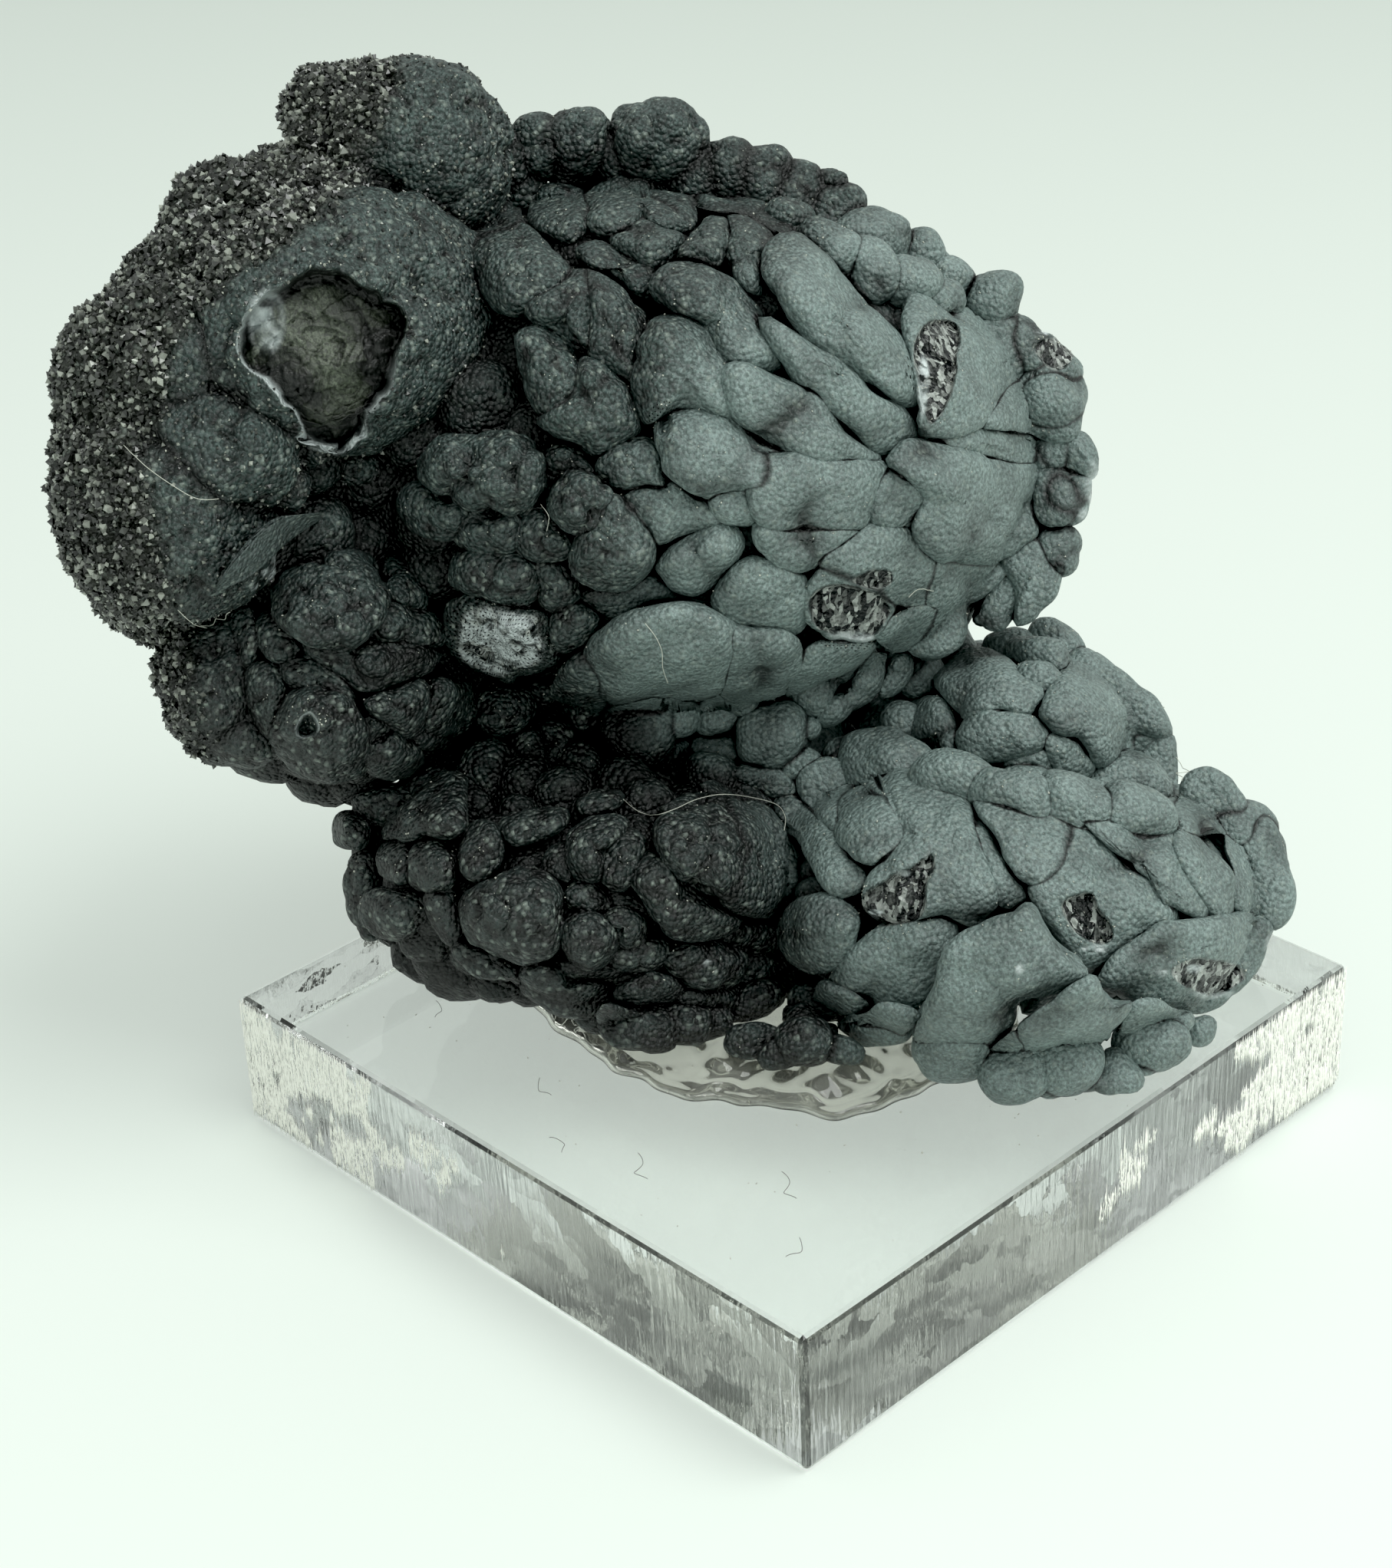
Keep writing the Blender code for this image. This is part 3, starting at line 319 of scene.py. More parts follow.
CHEEK_PILLOWS = [
    (2.4, 3.4, 0.2, [(-40.7, 17.5), (-40.2, 19.8), (-39, 21.5), (-37.2, 22.8), (-35, 23), (-32.5, 22.2),
     (-30.7, 20.5), (-29.9, 18), (-30.5, 15.5), (-32.3, 13.8), (-35, 13.1), (-37.8, 13.6), (-39.8, 15.2)]),
    (0.8, 2.4, 0.3, [(-36.7, 24.6), (-36, 26.2), (-33.8, 26.6), (-31.3, 26), (-30, 24.5), (-29.8, 22.5),
     (-31.3, 21.8), (-33, 22.2), (-35.5, 22.8)]),
    (1.4, 2.2, 0.2, [(-30, 20.3), (-29.3, 21.8), (-27.5, 22.5), (-25.9, 21.3), (-25.5, 19.3), (-26, 17.3),
     (-27.5, 16.9), (-29.2, 17.8), (-30, 19)]),
    (1, 2, 0.3, [(-31.8, 15.5), (-30.3, 17), (-28.3, 17.3), (-26, 16.8), (-24.3, 16), (-24.2, 14.2),
     (-26.2, 13.3), (-28.6, 13.7), (-30.8, 14.2)]),
    (0.9, 1.2, 0.1, [(-38.3, 13.2), (-37, 11.8), (-35, 10.7), (-33.5, 9.6), (-32, 9), (-30, 9.5),
     (-28, 10.2), (-26, 11), (-24.5, 12.4), (-25.5, 13.4), (-28, 13.8), (-31, 13.9), (-34, 13.4),
     (-36.5, 13.6)]),
    (1.6, 1.8, 0.1, [(-33.4, 11.7), (-32.5, 13), (-30.8, 13.4), (-29.2, 12.7), (-29, 11.3), (-30.3, 10.2),
     (-32.2, 10.2)]),
    (1.3, 1.2, 0.1, [(-28.7, 12.3), (-27.8, 13.2), (-26.4, 13.1), (-25.9, 12.2), (-27, 11.2),
     (-28.4, 11.3)]),
    (0.8, 1.6, 0.2, [(-45.3, 14), (-44.8, 16.2), (-43.8, 17.8), (-42.6, 16.8), (-42.3, 14.5), (-42.8, 12),
     (-44, 10.9), (-45, 12)]),
    (1.2, 1.4, 0.2, [(-42.4, 14), (-41.8, 16.5), (-40.6, 18), (-40, 16.3), (-39.3, 14.3), (-38.5, 12.8),
     (-39.5, 11.8), (-41.3, 12)]),
    (0.9, 2.2, 0.2, [(-44.3, 9), (-43.9, 10.8), (-42.5, 11.5), (-40.8, 10.8), (-39.8, 9), (-40, 7),
     (-40.6, 5), (-41.8, 4.7), (-43.2, 6.2)]),
    (1.6, 3.4, 0.2, [(-41, 5.3), (-40.3, 7.5), (-38.7, 9), (-36.5, 9.4), (-34.5, 8.8), (-32.8, 7.3),
     (-31.8, 5), (-31.9, 2.5), (-32.8, 0.8), (-35, 0.2), (-37.5, 0.7), (-39.5, 2.2), (-40.7, 3.8)]),
    (0.4, 1.6, 0.3, [(-40.5, 10.5), (-39.5, 12), (-37, 11.8), (-35, 10.8), (-33.5, 9.5), (-33, 8.2),
     (-35, 8.6), (-37.5, 9), (-39, 9.4)]),
    (1, 2, 0.2, [(-32, 2.2), (-31.3, 3.8), (-29.5, 4.8), (-27.8, 4.2), (-26.4, 2.7), (-26.9, 1.3),
     (-28.8, 0.6), (-31, 0.8)]),
    (0.8, 2.2, 0.3, [(-32.3, 8.2), (-30.5, 9), (-28.5, 9.4), (-27, 9.8), (-25.8, 8.8), (-25.8, 7),
     (-26.6, 5.2), (-28.2, 4.9), (-30, 5.8), (-31.6, 7)]),
    (0.6, 2.2, 0.3, [(-25.8, 8.5), (-25.2, 9.8), (-23.3, 9.8), (-21.6, 9.2), (-21.1, 7.5), (-22, 5.8),
     (-23.5, 5), (-25.3, 5), (-26.2, 6.5)]),
    (0.7, 1, 0.2, [(-26.9, 4.6), (-25.8, 5.2), (-24, 5.2), (-23.5, 4.2), (-24.7, 3.4), (-26.1, 3.7)]),
    (0.8, 1.3, 0.2, [(-32.4, 5), (-31.8, 6.6), (-30.3, 6.2), (-29.8, 5), (-31, 4), (-32.2, 3.9)]),
    (0.9, 2.4, 0.2, [(-21.1, 7.5), (-20.3, 9), (-18.5, 9.3), (-16.4, 8.8), (-15.5, 7.2), (-16.3, 5.6),
     (-18, 4.5), (-20, 4.8), (-21, 6)]),
    (1, 2.4, 0.2, [(-22.8, 1.2), (-22, 3.1), (-20, 3.8), (-17.9, 3.2), (-17.2, 1), (-18, -1), (-19.6, -1.8),
     (-21.6, -0.9)]),
    (0.9, 1.6, 0.2, [(-17.8, 3), (-17, 4.6), (-15.5, 5), (-14.4, 3.8), (-14.2, 2.2), (-15.3, 0.9),
     (-17, 1.3)]),
    (0.6, 1.4, 0.2, [(-15, 4.7), (-14.3, 5.9), (-12.7, 6), (-12, 4.5), (-12.8, 2.5), (-13.8, 1.2),
     (-14.3, 2.4)]),
    (1.1, 2.2, 0.2, [(-13.6, 0.6), (-13.1, 2.6), (-11.5, 3.6), (-9.7, 3.2), (-8.8, 1.5), (-9.2, -0.3),
     (-10.8, -1.3), (-12.8, -0.9)]),
    (1.2, 1.8, 0.2, [(-18.4, -1), (-17.3, 0.5), (-15.5, 0.8), (-14, -0.2), (-13.8, -1.6), (-15.3, -2.5),
     (-17.2, -2.4)]),
    (0.3, 1, 0.2, [(-15.8, 9), (-15, 9.9), (-13.8, 9.4), (-13.5, 8.3), (-14.8, 7.6)]),
]
FOOT_PILLOWS = [
    (0.6, 2.8, 0.3, [(-33, -1), (-31, -0.3), (-29, -0.2), (-27.5, 1), (-25.5, 1.6), (-23.6, 1.8),
     (-22.6, 0.2), (-22.4, -2), (-22, -4), (-23.5, -5.2), (-26, -4.9), (-28.5, -5.4), (-31, -4.8),
     (-32.6, -3.4)]),
    (0.4, 1.6, 0.2, [(-30.8, -7), (-29.8, -5.8), (-28.2, -5.9), (-27.8, -7.5), (-28.3, -9.5), (-29.8, -9)]),
    (0.8, 2, 0.2, [(-28, -8), (-27.3, -6.2), (-25.5, -5.9), (-23.6, -6.8), (-23.3, -8.5), (-24.5, -10),
     (-26.8, -10.2)]),
    (0.6, 1.9, 0.2, [(-22.9, -6.8), (-22, -4.9), (-20.3, -3.7), (-19.1, -4.5), (-18.8, -6.3), (-19.8, -8.3),
     (-21.5, -9), (-22.7, -8)]),
    (0.4, 1.5, 0.2, [(-18.6, -3.8), (-17.3, -3), (-15, -2.7), (-13.3, -2.5), (-12.5, -3.3), (-13.4, -4.5),
     (-15.5, -5.3), (-17.5, -5.6), (-18.5, -5)]),
    (0.3, 1.2, 0.2, [(-11.5, -2.2), (-10.5, -1.2), (-8.5, -0.6), (-7, -1.1), (-7.6, -2.5), (-9.5, -3.1),
     (-11, -3)]),
    (1.4, 3.4, 0.2, [(-22.7, -11.5), (-21.5, -10), (-20, -9.5), (-18, -8.4), (-15.5, -8.2), (-13.8, -9.2),
     (-12.9, -11), (-12.5, -13), (-13.2, -15.5), (-14.8, -17), (-17, -17), (-19.5, -15.8), (-21.5, -15.2),
     (-22.5, -13.5)]),
    (1, 2.6, 0.2, [(-12.6, -6), (-11.8, -4.3), (-9.8, -3.4), (-7.5, -3.6), (-6.3, -4.5), (-7.5, -5.8),
     (-8.6, -7.5), (-8.9, -9.3), (-11, -9.2), (-12.3, -7.8)]),
    (1.5, 2, 0.2, [(-9, -7.5), (-8, -5.6), (-6.3, -4.8), (-4.9, -5.5), (-5.3, -7.8), (-6.5, -10),
     (-8.3, -10.2), (-9.2, -9)]),
    (0.2, 1.2, 0.2, [(-14.8, -8), (-14, -6.2), (-12.8, -5.7), (-12.4, -7.2), (-12, -9), (-13.2, -9.5),
     (-14.5, -9)]),
    (0.8, 1.6, 0.2, [(-12.7, -10.8), (-11.8, -9.5), (-10, -9.6), (-8.8, -10.5), (-8.6, -11.9),
     (-10.5, -12.8), (-12.3, -12.2)]),
    (0.5, 1, 0.2, [(-8.8, -10.3), (-7, -10.5), (-5.2, -11.3), (-4.5, -12.6), (-6.3, -12.6), (-8.3, -12)]),
    (2, 2.4, 0.2, [(-6.3, -9.3), (-5.5, -7.7), (-3.9, -6.8), (-2.5, -8.3), (-0.8, -9.8), (0.8, -11),
     (2.8, -12.4), (4, -13.4), (2.5, -14.3), (0.3, -14.6), (-1.5, -14.7), (-3.2, -13.8), (-4.3, -12.3),
     (-5.6, -10.8)]),
    (1.8, 2.6, 0.2, [(-12.9, -14.8), (-12.3, -13.2), (-10.5, -12.6), (-8.6, -13.3), (-7.5, -15.2),
     (-8.2, -17), (-10, -17.9), (-12, -17.2), (-12.8, -16)]),
    (1.3, 1.8, 0.2, [(-9.3, -13), (-8, -12), (-6.2, -12.1), (-4.9, -13.3), (-4.7, -15), (-6, -16),
     (-7.5, -15.3), (-8.2, -14)]),
    (0.8, 1.6, 0.2, [(-7.8, -16), (-6.3, -15.3), (-4, -15), (-2.8, -15.8), (-3, -17.5), (-4.8, -18.4),
     (-7, -18.3), (-8, -17.3)]),
    (0.8, 1, 0.2, [(-13.6, -17.3), (-12.3, -16.9), (-10, -17.6), (-7.6, -17.8), (-5.8, -18.2), (-7, -19),
     (-9.5, -19.3), (-11.8, -18.8), (-13, -18.2)]),
    (0.6, 2, 0.2, [(-17, -18), (-16, -16.9), (-14, -17.2), (-12, -18.6), (-9.5, -19.2), (-8, -19.8),
     (-8.5, -21.3), (-10.5, -22), (-12.8, -22.2), (-14.5, -21.3), (-15.8, -20)]),
    (0.9, 1.6, 0.2, [(-7.4, -20.5), (-6.5, -19.4), (-4.5, -18.6), (-2.5, -18.7), (-0.7, -19.9),
     (-1.2, -21.3), (-3.3, -22), (-5.8, -22.2)]),
    (0.5, 1.6, 0.2, [(-9.2, -22), (-8, -21.3), (-6.5, -21.9), (-4.5, -22.2), (-3, -22.8), (-2, -25),
     (-3.2, -26), (-5, -25.9), (-7, -25), (-8.6, -23.7)]),
    (0.8, 1.4, 0.2, [(-4, -22.3), (-2.8, -21.7), (-1, -21.8), (1, -22.3), (2.8, -22.8), (2.3, -24),
     (0, -24.5), (-1.8, -24.4), (-3.5, -23.6)]),
    (1, 1.6, 0.2, [(-2.7, -17.3), (-1.8, -16), (0, -15.3), (1.5, -15.8), (2.5, -17.5), (1.8, -19),
     (0.2, -19.4), (-1.5, -18.8)]),
    (0.8, 1.6, 0.3, [(2.2, -17.5), (3.5, -15.6), (6, -15.5), (7.8, -16.2), (7.5, -18), (6.5, -19.8),
     (4.8, -20.3), (3, -19.3)]),
    (0.7, 1.5, 0.2, [(7.2, -19), (7.5, -17), (9, -16.7), (10.9, -18.5), (10.5, -20), (8.8, -20.4)]),
    (0.8, 1, 0.2, [(2.4, -14.7), (3.8, -13.8), (6, -13.8), (7.2, -14.8), (6.3, -16), (4.2, -15.8)]),
    (0.8, 1.2, 0.2, [(-0.5, -20.5), (0.8, -19.2), (3, -19.3), (3.9, -20.3), (3.2, -21.8), (1.2, -21.7)]),
    (0.4, 1, 0.2, [(3.5, -22.5), (4.5, -21), (6.5, -20.3), (7.8, -20.5), (7, -21.8), (5.3, -22.8)]),
    (3.4, 2.8, 0.2, [(-3.8, -5.5), (-3.2, -3.8), (-1.5, -3), (0.2, -2.4), (2.2, -2.3), (3.8, -3),
     (4.8, -4.3), (5.6, -6), (5.6, -7.5), (4.9, -8.8), (4.8, -10.3), (3.6, -11.7), (2, -10.5), (0.3, -9.8),
     (-1.3, -9.3), (-2.6, -7.8)]),
    (2.4, 2.8, 0.3, [(2.6, -2.6), (4.5, -1.9), (6.5, -2), (8, -3.2), (9.6, -5), (11, -7), (12.2, -8.8),
     (13, -10), (11.8, -10.4), (10, -11), (9, -12.3), (6.5, -12.6), (4.5, -12.2), (2.5, -11.5), (2.8, -8.5),
     (3, -6)]),
    (1.6, 1, 0.1, [(-3.5, -2.6), (-2, -1.6), (0, -1.2), (2, -1.1), (3.8, -1.8), (5, -2.8), (3, -3.4),
     (0, -3), (-2, -3.4)]),
    (1, 1, 0.1, [(0.2, -0.3), (1.5, 0.2), (3.2, 0.4), (5, 0.2), (6.8, -0.8), (7.6, -2), (5, -2.4),
     (3.2, -1.8), (1.5, -1.4)]),
    (0.6, 1.3, 0.1, [(3.2, 0.8), (4.5, 1.8), (6, 2.2), (7.8, 1.7), (9.3, 0.5), (10, -0.8), (8.3, -1.4),
     (6.5, -1), (4.8, -0.2)]),
    (0, 1.4, 0.2, [(7.8, 2.3), (8.8, 3.2), (10.5, 3.2), (12, 2.3), (11.3, 1), (9.8, 0.2), (8.3, 1)]),
    (0.3, 1.5, 0.2, [(8.6, -23), (9, -21.9), (10.6, -21.6), (12.2, -23), (13.6, -24.4), (13.4, -26),
     (11.5, -27), (9.3, -26.8), (8.3, -25.2)]),
]
BASE_PILLOWS = [
    (1.6, 1.3, 0.2, [(9.9, 0), (10.5, 1.5), (12.3, 2.2), (14.2, 1.9), (15.4, 0.5), (14.8, -0.8), (14, -2.5),
     (13.8, -4.5), (12, -3.5), (10.6, -2)]),
    (3, 1.6, 0.2, [(13.8, -3.8), (14, -1.8), (15.3, -0.7), (17.3, -0.6), (18.8, -1.3), (19.7, -3),
     (20.2, -4.6), (19.8, -6), (18, -7.5), (16, -7.7), (14.5, -6.5), (13.8, -5)]),
    (2.2, 1.4, 0.2, [(13.2, 2.2), (14.5, 3.4), (17, 3.9), (19.5, 3.6), (21.5, 2.8), (23.5, 1), (25.2, -1),
     (26.3, -2.3), (26.8, -4), (27.5, -6), (28.3, -8), (29, -10), (29.2, -12), (28, -13.6), (26.5, -14),
     (24.5, -13.2), (22.5, -13), (19, -13.4), (16, -12), (16.5, -9), (18.5, -5), (18, -1), (15.5, 0.5)]),
    (1.7, 0.7, 0.4, [(25.8, -2.5), (27, -3.5), (29, -6.5), (30.5, -8.5), (32, -10.2), (31, -11.4),
     (29.2, -12.4), (28.2, -10), (27.2, -7), (26, -4.5)]),
    (2.4, 1.2, 0.2, [(26.7, -2), (28.5, -1.1), (31, -2), (34, -2.3), (36, -3.2), (37, -5), (36.6, -7),
     (35.4, -8.3), (33.5, -9.6), (32.2, -9.4), (31, -8.5), (29, -5.5), (27.5, -3.5)]),
    (2.2, 1.1, 0.3, [(35, -3), (36.5, -3.9), (38, -5.2), (40, -7), (42.5, -8.6), (45, -10.3), (46, -12.5),
     (45.8, -13.6), (44, -14.2), (42.3, -15.3), (40.5, -16.2), (38.5, -17.5), (37.4, -18), (36.5, -16.8),
     (34.8, -14.5), (33, -12), (32.3, -10.3), (33, -8.6), (34, -6)]),
    (2, 1.1, 0.3, [(36.3, -2.8), (38, -2), (40, -2.2), (42.5, -3), (44.5, -3.8), (46, -5), (46.2, -7),
     (47, -9), (48.5, -11), (49.3, -12.8), (48.5, -13.6), (46, -13.2), (45.8, -11), (44, -9.3),
     (41.5, -7.5), (39.5, -5.8), (37.5, -4.3)]),
    (2.2, 1.1, 0.2, [(46.1, -5.2), (47.5, -4.6), (49, -5.2), (50.5, -6.8), (51.5, -8.5), (51.8, -11),
     (51.9, -12.8), (50, -12.9), (48.5, -11), (47, -8.8), (46.2, -7)]),
    (1.2, 1.3, 0.3, [(46.9, 0), (48, 1), (49.5, 1.3), (51.3, 0.7), (52.5, -0.8), (53.2, -2.8), (53, -4.3),
     (51, -4.8), (49, -5), (47.3, -4.8), (46.6, -3), (46.7, -1.5)]),
    (1.4, 0.7, 0.3, [(43.2, -2.5), (44, -1.6), (46, -1.3), (46.8, -2.5), (46.8, -4.2), (45.3, -4.4),
     (44.2, -3.4)]),
    (1.4, 1.3, 0.2, [(53, -3.8), (54.3, -3.1), (55.6, -3.9), (56.9, -6), (57.5, -8.5), (57.5, -11),
     (56.6, -13), (55.8, -13.7), (54.3, -13), (52.5, -12.3), (51.8, -10), (51.8, -8), (51, -6.2),
     (51.4, -4.6)]),
    (1.8, 1.6, 0.3, [(38.8, -19.5), (39.5, -18), (41, -16.5), (42.5, -15.3), (44.5, -14), (46.5, -13.4),
     (49, -13.3), (52, -12.7), (54.5, -13), (55.5, -13.8), (54.8, -16), (53.7, -18), (51.8, -20),
     (50.1, -21.1), (48, -21.6), (45.5, -21.4), (43, -20.9), (41, -20.5), (39.5, -20.3)]),
    (2.8, 1.8, 0.2, [(24, -16), (25.8, -14.7), (28, -13.6), (30.5, -12.2), (32.3, -11.2), (33.3, -13),
     (35, -15.2), (36.6, -17), (37.4, -18.3), (36.8, -19.3), (35.3, -19.9), (33.8, -20.2), (31.8, -21.2),
     (30.9, -23), (29.8, -25), (28.2, -26.7), (26, -27.5), (23.5, -27), (21.8, -25.6), (21.4, -24),
     (22, -22), (23, -20), (23.4, -18)]),
    (3, 0.8, 0.1, [(33.5, -18), (35, -18.5), (35.6, -19.6), (34, -21), (32.6, -22.2), (31.8, -21.8),
     (32.3, -20)]),
    (2.6, 1.6, 0.2, [(13, -19.5), (13.7, -17.3), (15.3, -15.6), (17, -14.2), (18, -13.6), (20.5, -13.3),
     (22.5, -12.8), (24.5, -13), (25.5, -14.2), (24.6, -16), (23.4, -18), (22.9, -20), (21.5, -21.7),
     (20, -22.2), (18, -21.8), (16.8, -21), (15, -20.5), (13.5, -20.5)]),
    (2, 1, 0.2, [(11.5, -21), (12.3, -19.3), (13.5, -19.5), (15, -20), (16.6, -20.8), (16.2, -22.5),
     (15, -23), (13.2, -22.8), (12, -22.2)]),
    (1.8, 1, 0.2, [(13.5, -23.2), (15.5, -22.2), (17.5, -21.4), (19.5, -21.8), (21.3, -22.3), (19.9, -24),
     (18, -24.7), (16, -24.6), (14.2, -24.1)]),
    (2.6, 1.8, 0.2, [(8, -14), (8.8, -12.2), (10.5, -11), (12.8, -10.8), (14.8, -11.7), (15.7, -13.2),
     (15, -15), (14, -16.8), (12.8, -17.8), (11, -17.9), (9.2, -16.8), (8.1, -15.5)]),
    (1.8, 1, 0.3, [(8.2, -0.9), (10, -1.2), (11.5, -3), (13.2, -4.8), (14.6, -6.3), (16.2, -8), (16, -10),
     (14.2, -10.6), (12.5, -9.4), (11, -6.7), (9.3, -4.3), (8, -2.5)]),
    (0.8, 1.4, 0.3, [(31.2, -24), (32.5, -22.3), (34.5, -21), (36, -19.8), (38, -18.8), (38.8, -19.8),
     (40.2, -21.3), (41.8, -21.2), (42.3, -21.2), (41.5, -22.5), (40.1, -24), (39.1, -25.2), (38.3, -27),
     (37, -29), (35.7, -29.8), (34, -30), (33.1, -29), (32.8, -26.5)]),
    (1.2, 1.2, 0.2, [(27.8, -27), (29, -25.2), (31, -24), (32.7, -25), (33.2, -27), (33, -29), (31.5, -30),
     (29.8, -29.9), (28.3, -29)]),
    (0.8, 1.1, 0.2, [(41.2, -24), (42, -22.3), (43.5, -21.3), (46, -21.6), (47.5, -22), (47.6, -23.3),
     (46.6, -24.3), (46, -26), (44.4, -27.6), (43, -28), (41.8, -27), (41, -26)]),
    (0.5, 1, 0.2, [(36.9, -29.3), (38, -28), (39.5, -26.3), (41, -25.9), (42, -27), (42.9, -28.3),
     (42.1, -29.6), (40, -29.9), (38, -29.8)]),
]
SHOULDER_PILLOWS = [
    (1.6, 1.7, 0.2, [(23.3, 10.3), (24.6, 12), (27, 12.9), (29.2, 12.3), (31, 11), (33, 9.8), (33.8, 9),
     (33, 8), (32, 7), (30, 7), (28, 6.8), (26, 6.2), (24.8, 7.8)]),
    (2.2, 1.5, 0.2, [(25.3, 5), (26.5, 6.6), (28.5, 7.3), (31, 7.2), (32.8, 6.6), (34, 5), (33.6, 3.7),
     (32, 3), (30.3, 2.5), (29, 2), (27, 1.8), (25.8, 2.8)]),
    (1.6, 2, 0.2, [(33.3, 7.2), (34.5, 9.5), (36, 12), (37.5, 13.2), (39.5, 12.2), (42, 9.8), (44, 8.2),
     (45, 6.8), (45.7, 4.7), (44.5, 4.4), (43, 4), (42, 2.3), (40.5, 1.2), (38.5, 2.2), (36.8, 4.2),
     (35, 4.8), (34, 5.8)]),
    (2, 1.3, 0.3, [(33.8, 5), (35.3, 4.8), (36.8, 4.2), (38.3, 2.3), (38, 0.9), (37, 0), (35, -0.6),
     (34.6, 1), (33.9, 2.8), (33.4, 4.2)]),
    (2, 1.1, 0.2, [(33.7, 3.8), (34.4, 2.2), (35.1, 0.2), (34.4, -0.6), (33, -0.4), (31, 0.2), (29.8, 1.2),
     (30.2, 2.6), (32, 3.3)]),
    (1.2, 1.3, 0.3, [(41, -0.3), (40.4, -1.4), (41.7, -1.9), (43.5, -1.9), (45, -1.7), (45.9, -0.5),
     (46, 2), (46, 4.2), (44.8, 4.7), (43.2, 4), (42, 2.2)]),
    (1.2, 1.7, 0.2, [(19, 5.5), (20.2, 7.2), (22, 8.2), (23.4, 8.1), (24.6, 6.5), (25.7, 5.2), (25.6, 3),
     (25.5, 1.8), (24.3, 1.2), (22.8, 2.2), (21, 3.4), (19.2, 4.2)]),
    (0.2, 1.1, 0.3, [(15.8, 5.5), (16.4, 7.2), (17.8, 8.8), (20, 9.8), (21.8, 9.4), (20.8, 8.3), (19.5, 7),
     (18.8, 5.5), (17.5, 5.1)]),
]

# Piece name, core, its round lobes, how much fuller these are than their outlines, its pillows,
# and the direction (degrees) in which each pillow rises over its neighbour, with the slope
COVERINGS = [
    ("left_domes", "left", LEFT_LOBES, 1.04, [], 0, 0),
    ("crown_skyline", "crown", SKYLINE_LOBES, 1.12, [], 0, 0),
    ("crown_fingers", "crown", [], 1, FINGERS_PILLOWS, 140, 0.20),
    ("crown_cap", "crown", CAP_LOBES, 1.1, CAP_PILLOWS, 225, 0.17),
    ("waist_band", "crown", [], 1, BAND_PILLOWS, 250, 0.12),
    ("cheek", "cheek", CHEEK_LOBES, 1.08, CHEEK_PILLOWS, 250, 0.08),
    ("foot", "foot", FOOT_LOBES, 1.08, FOOT_PILLOWS, 250, 0.08),
    ("base", "base", BASE_LOBES, 1.1, BASE_PILLOWS, 235, 0.14),
    ("shoulder", "side", SHOULDER_LOBES, 1.1, SHOULDER_PILLOWS, 235, 0.12),
]
# Even lobes over each whole core: count, radius and depth of their centres. They fill between the
# forms above and cover the side that faces away.
FILLINGS = [
    ("crown", 230, 3.6, 4.4),
    ("left", 70, 3.6, 3.4),
    ("cheek", 70, 2.6, 3.2),
    ("foot", 110, 2.8, 3.5),
    ("base", 120, 3.0, 3.8),
    ("side", 50, 2.6, 3.2),
    ("stem", 120, 3.2, 1.4),
]
FAR_SIDE_GROWTH = 1.45


def raised(centres, axes, radii, directions):
    """Move forms that would reach below the mineral's lowest level along the given directions."""
    depth = np.linalg.norm((axes @ VIEW[2]) * radii, axis=-1)
    height = to_object(centres)[:, 2]
    short = np.maximum(STONE_FLOOR - (height - depth), 0)
    return centres + directions * (short / (directions @ VIEW[2]))[:, None]


def seen_lobes(core, rows, growth):
    """Centres, axes (long, wide, outward) and radii of lobes whose long way follows the core."""
    across, up, length, width, tilt, lift = np.array(rows, float).T
    way = np.stack([np.cos(np.radians(tilt)), np.sin(np.radians(tilt))])
    middle = sighted(core, across, up)
    reach = 0.6 * length
    before = sighted(core, across - reach * way[0], up - reach * way[1])
    beyond = sighted(core, across + reach * way[0], up + reach * way[1])
    along = beyond - before
    flat = np.hypot(along[:, 0], along[:, 1])
    along[:, 2] = np.clip(along[:, 2], -1.2 * flat, 1.2 * flat)
    stretch = np.where(length >= width, np.minimum(np.linalg.norm(along, axis=1) / flat, 1.25), 1)
    along = unit(along)
    beside = np.cross(core_normal(core, middle), along)
    slim = np.linalg.norm(beside, axis=1, keepdims=True) < 0.2
    beside = unit(np.where(slim, np.cross([0.0, 0.0, 1.0], along), beside))
    outward = np.cross(along, beside)
    scale = growth * (PLANE_DISTANCE - middle[:, 2]) / PLANE_DISTANCE
    radii = np.stack([length * stretch, width, np.minimum(length, width)], axis=1) * scale[:, None]
    centres = middle + unit(VIEWER - middle) * lift[:, None]
    axes = np.stack([along, beside, outward], axis=1)
    return raised(centres, axes, radii, unit(VIEWER - centres)), axes, radii


def even_lobes(core, count, radius, sunk):
    """Round lobes spread over a core by the golden angle, larger where the viewer can't see."""
    centre, radii = np.array(CORES[core], float)
    index = np.arange(count)
    height = 1 - 2 * (index + 0.5) / count
    ring = np.sqrt(1 - height ** 2)
    angle = math.pi * (1 + math.sqrt(5)) * (index + 0.5)
    spots = centre + np.stack([ring * np.cos(angle), ring * np.sin(angle), height], axis=1) * radii
    normals = core_normal(core, spots)
    away = dot(unit(VIEWER - spots), normals) < -0.15
    size = radius * (1 + 0.22 * np.sin(7.3 * index)) * np.where(away, FAR_SIDE_GROWTH, 1)
    centres = spots - normals * (sunk * np.where(away, 0.5, 1))[:, None]
    axes = np.repeat(np.eye(3)[None], count, axis=0)
    radii = np.repeat(size[:, None], 3, axis=1)
    upright = np.repeat(VIEW[2][None], count, axis=0)
    return raised(centres, axes, radii, upright), axes, radii, away


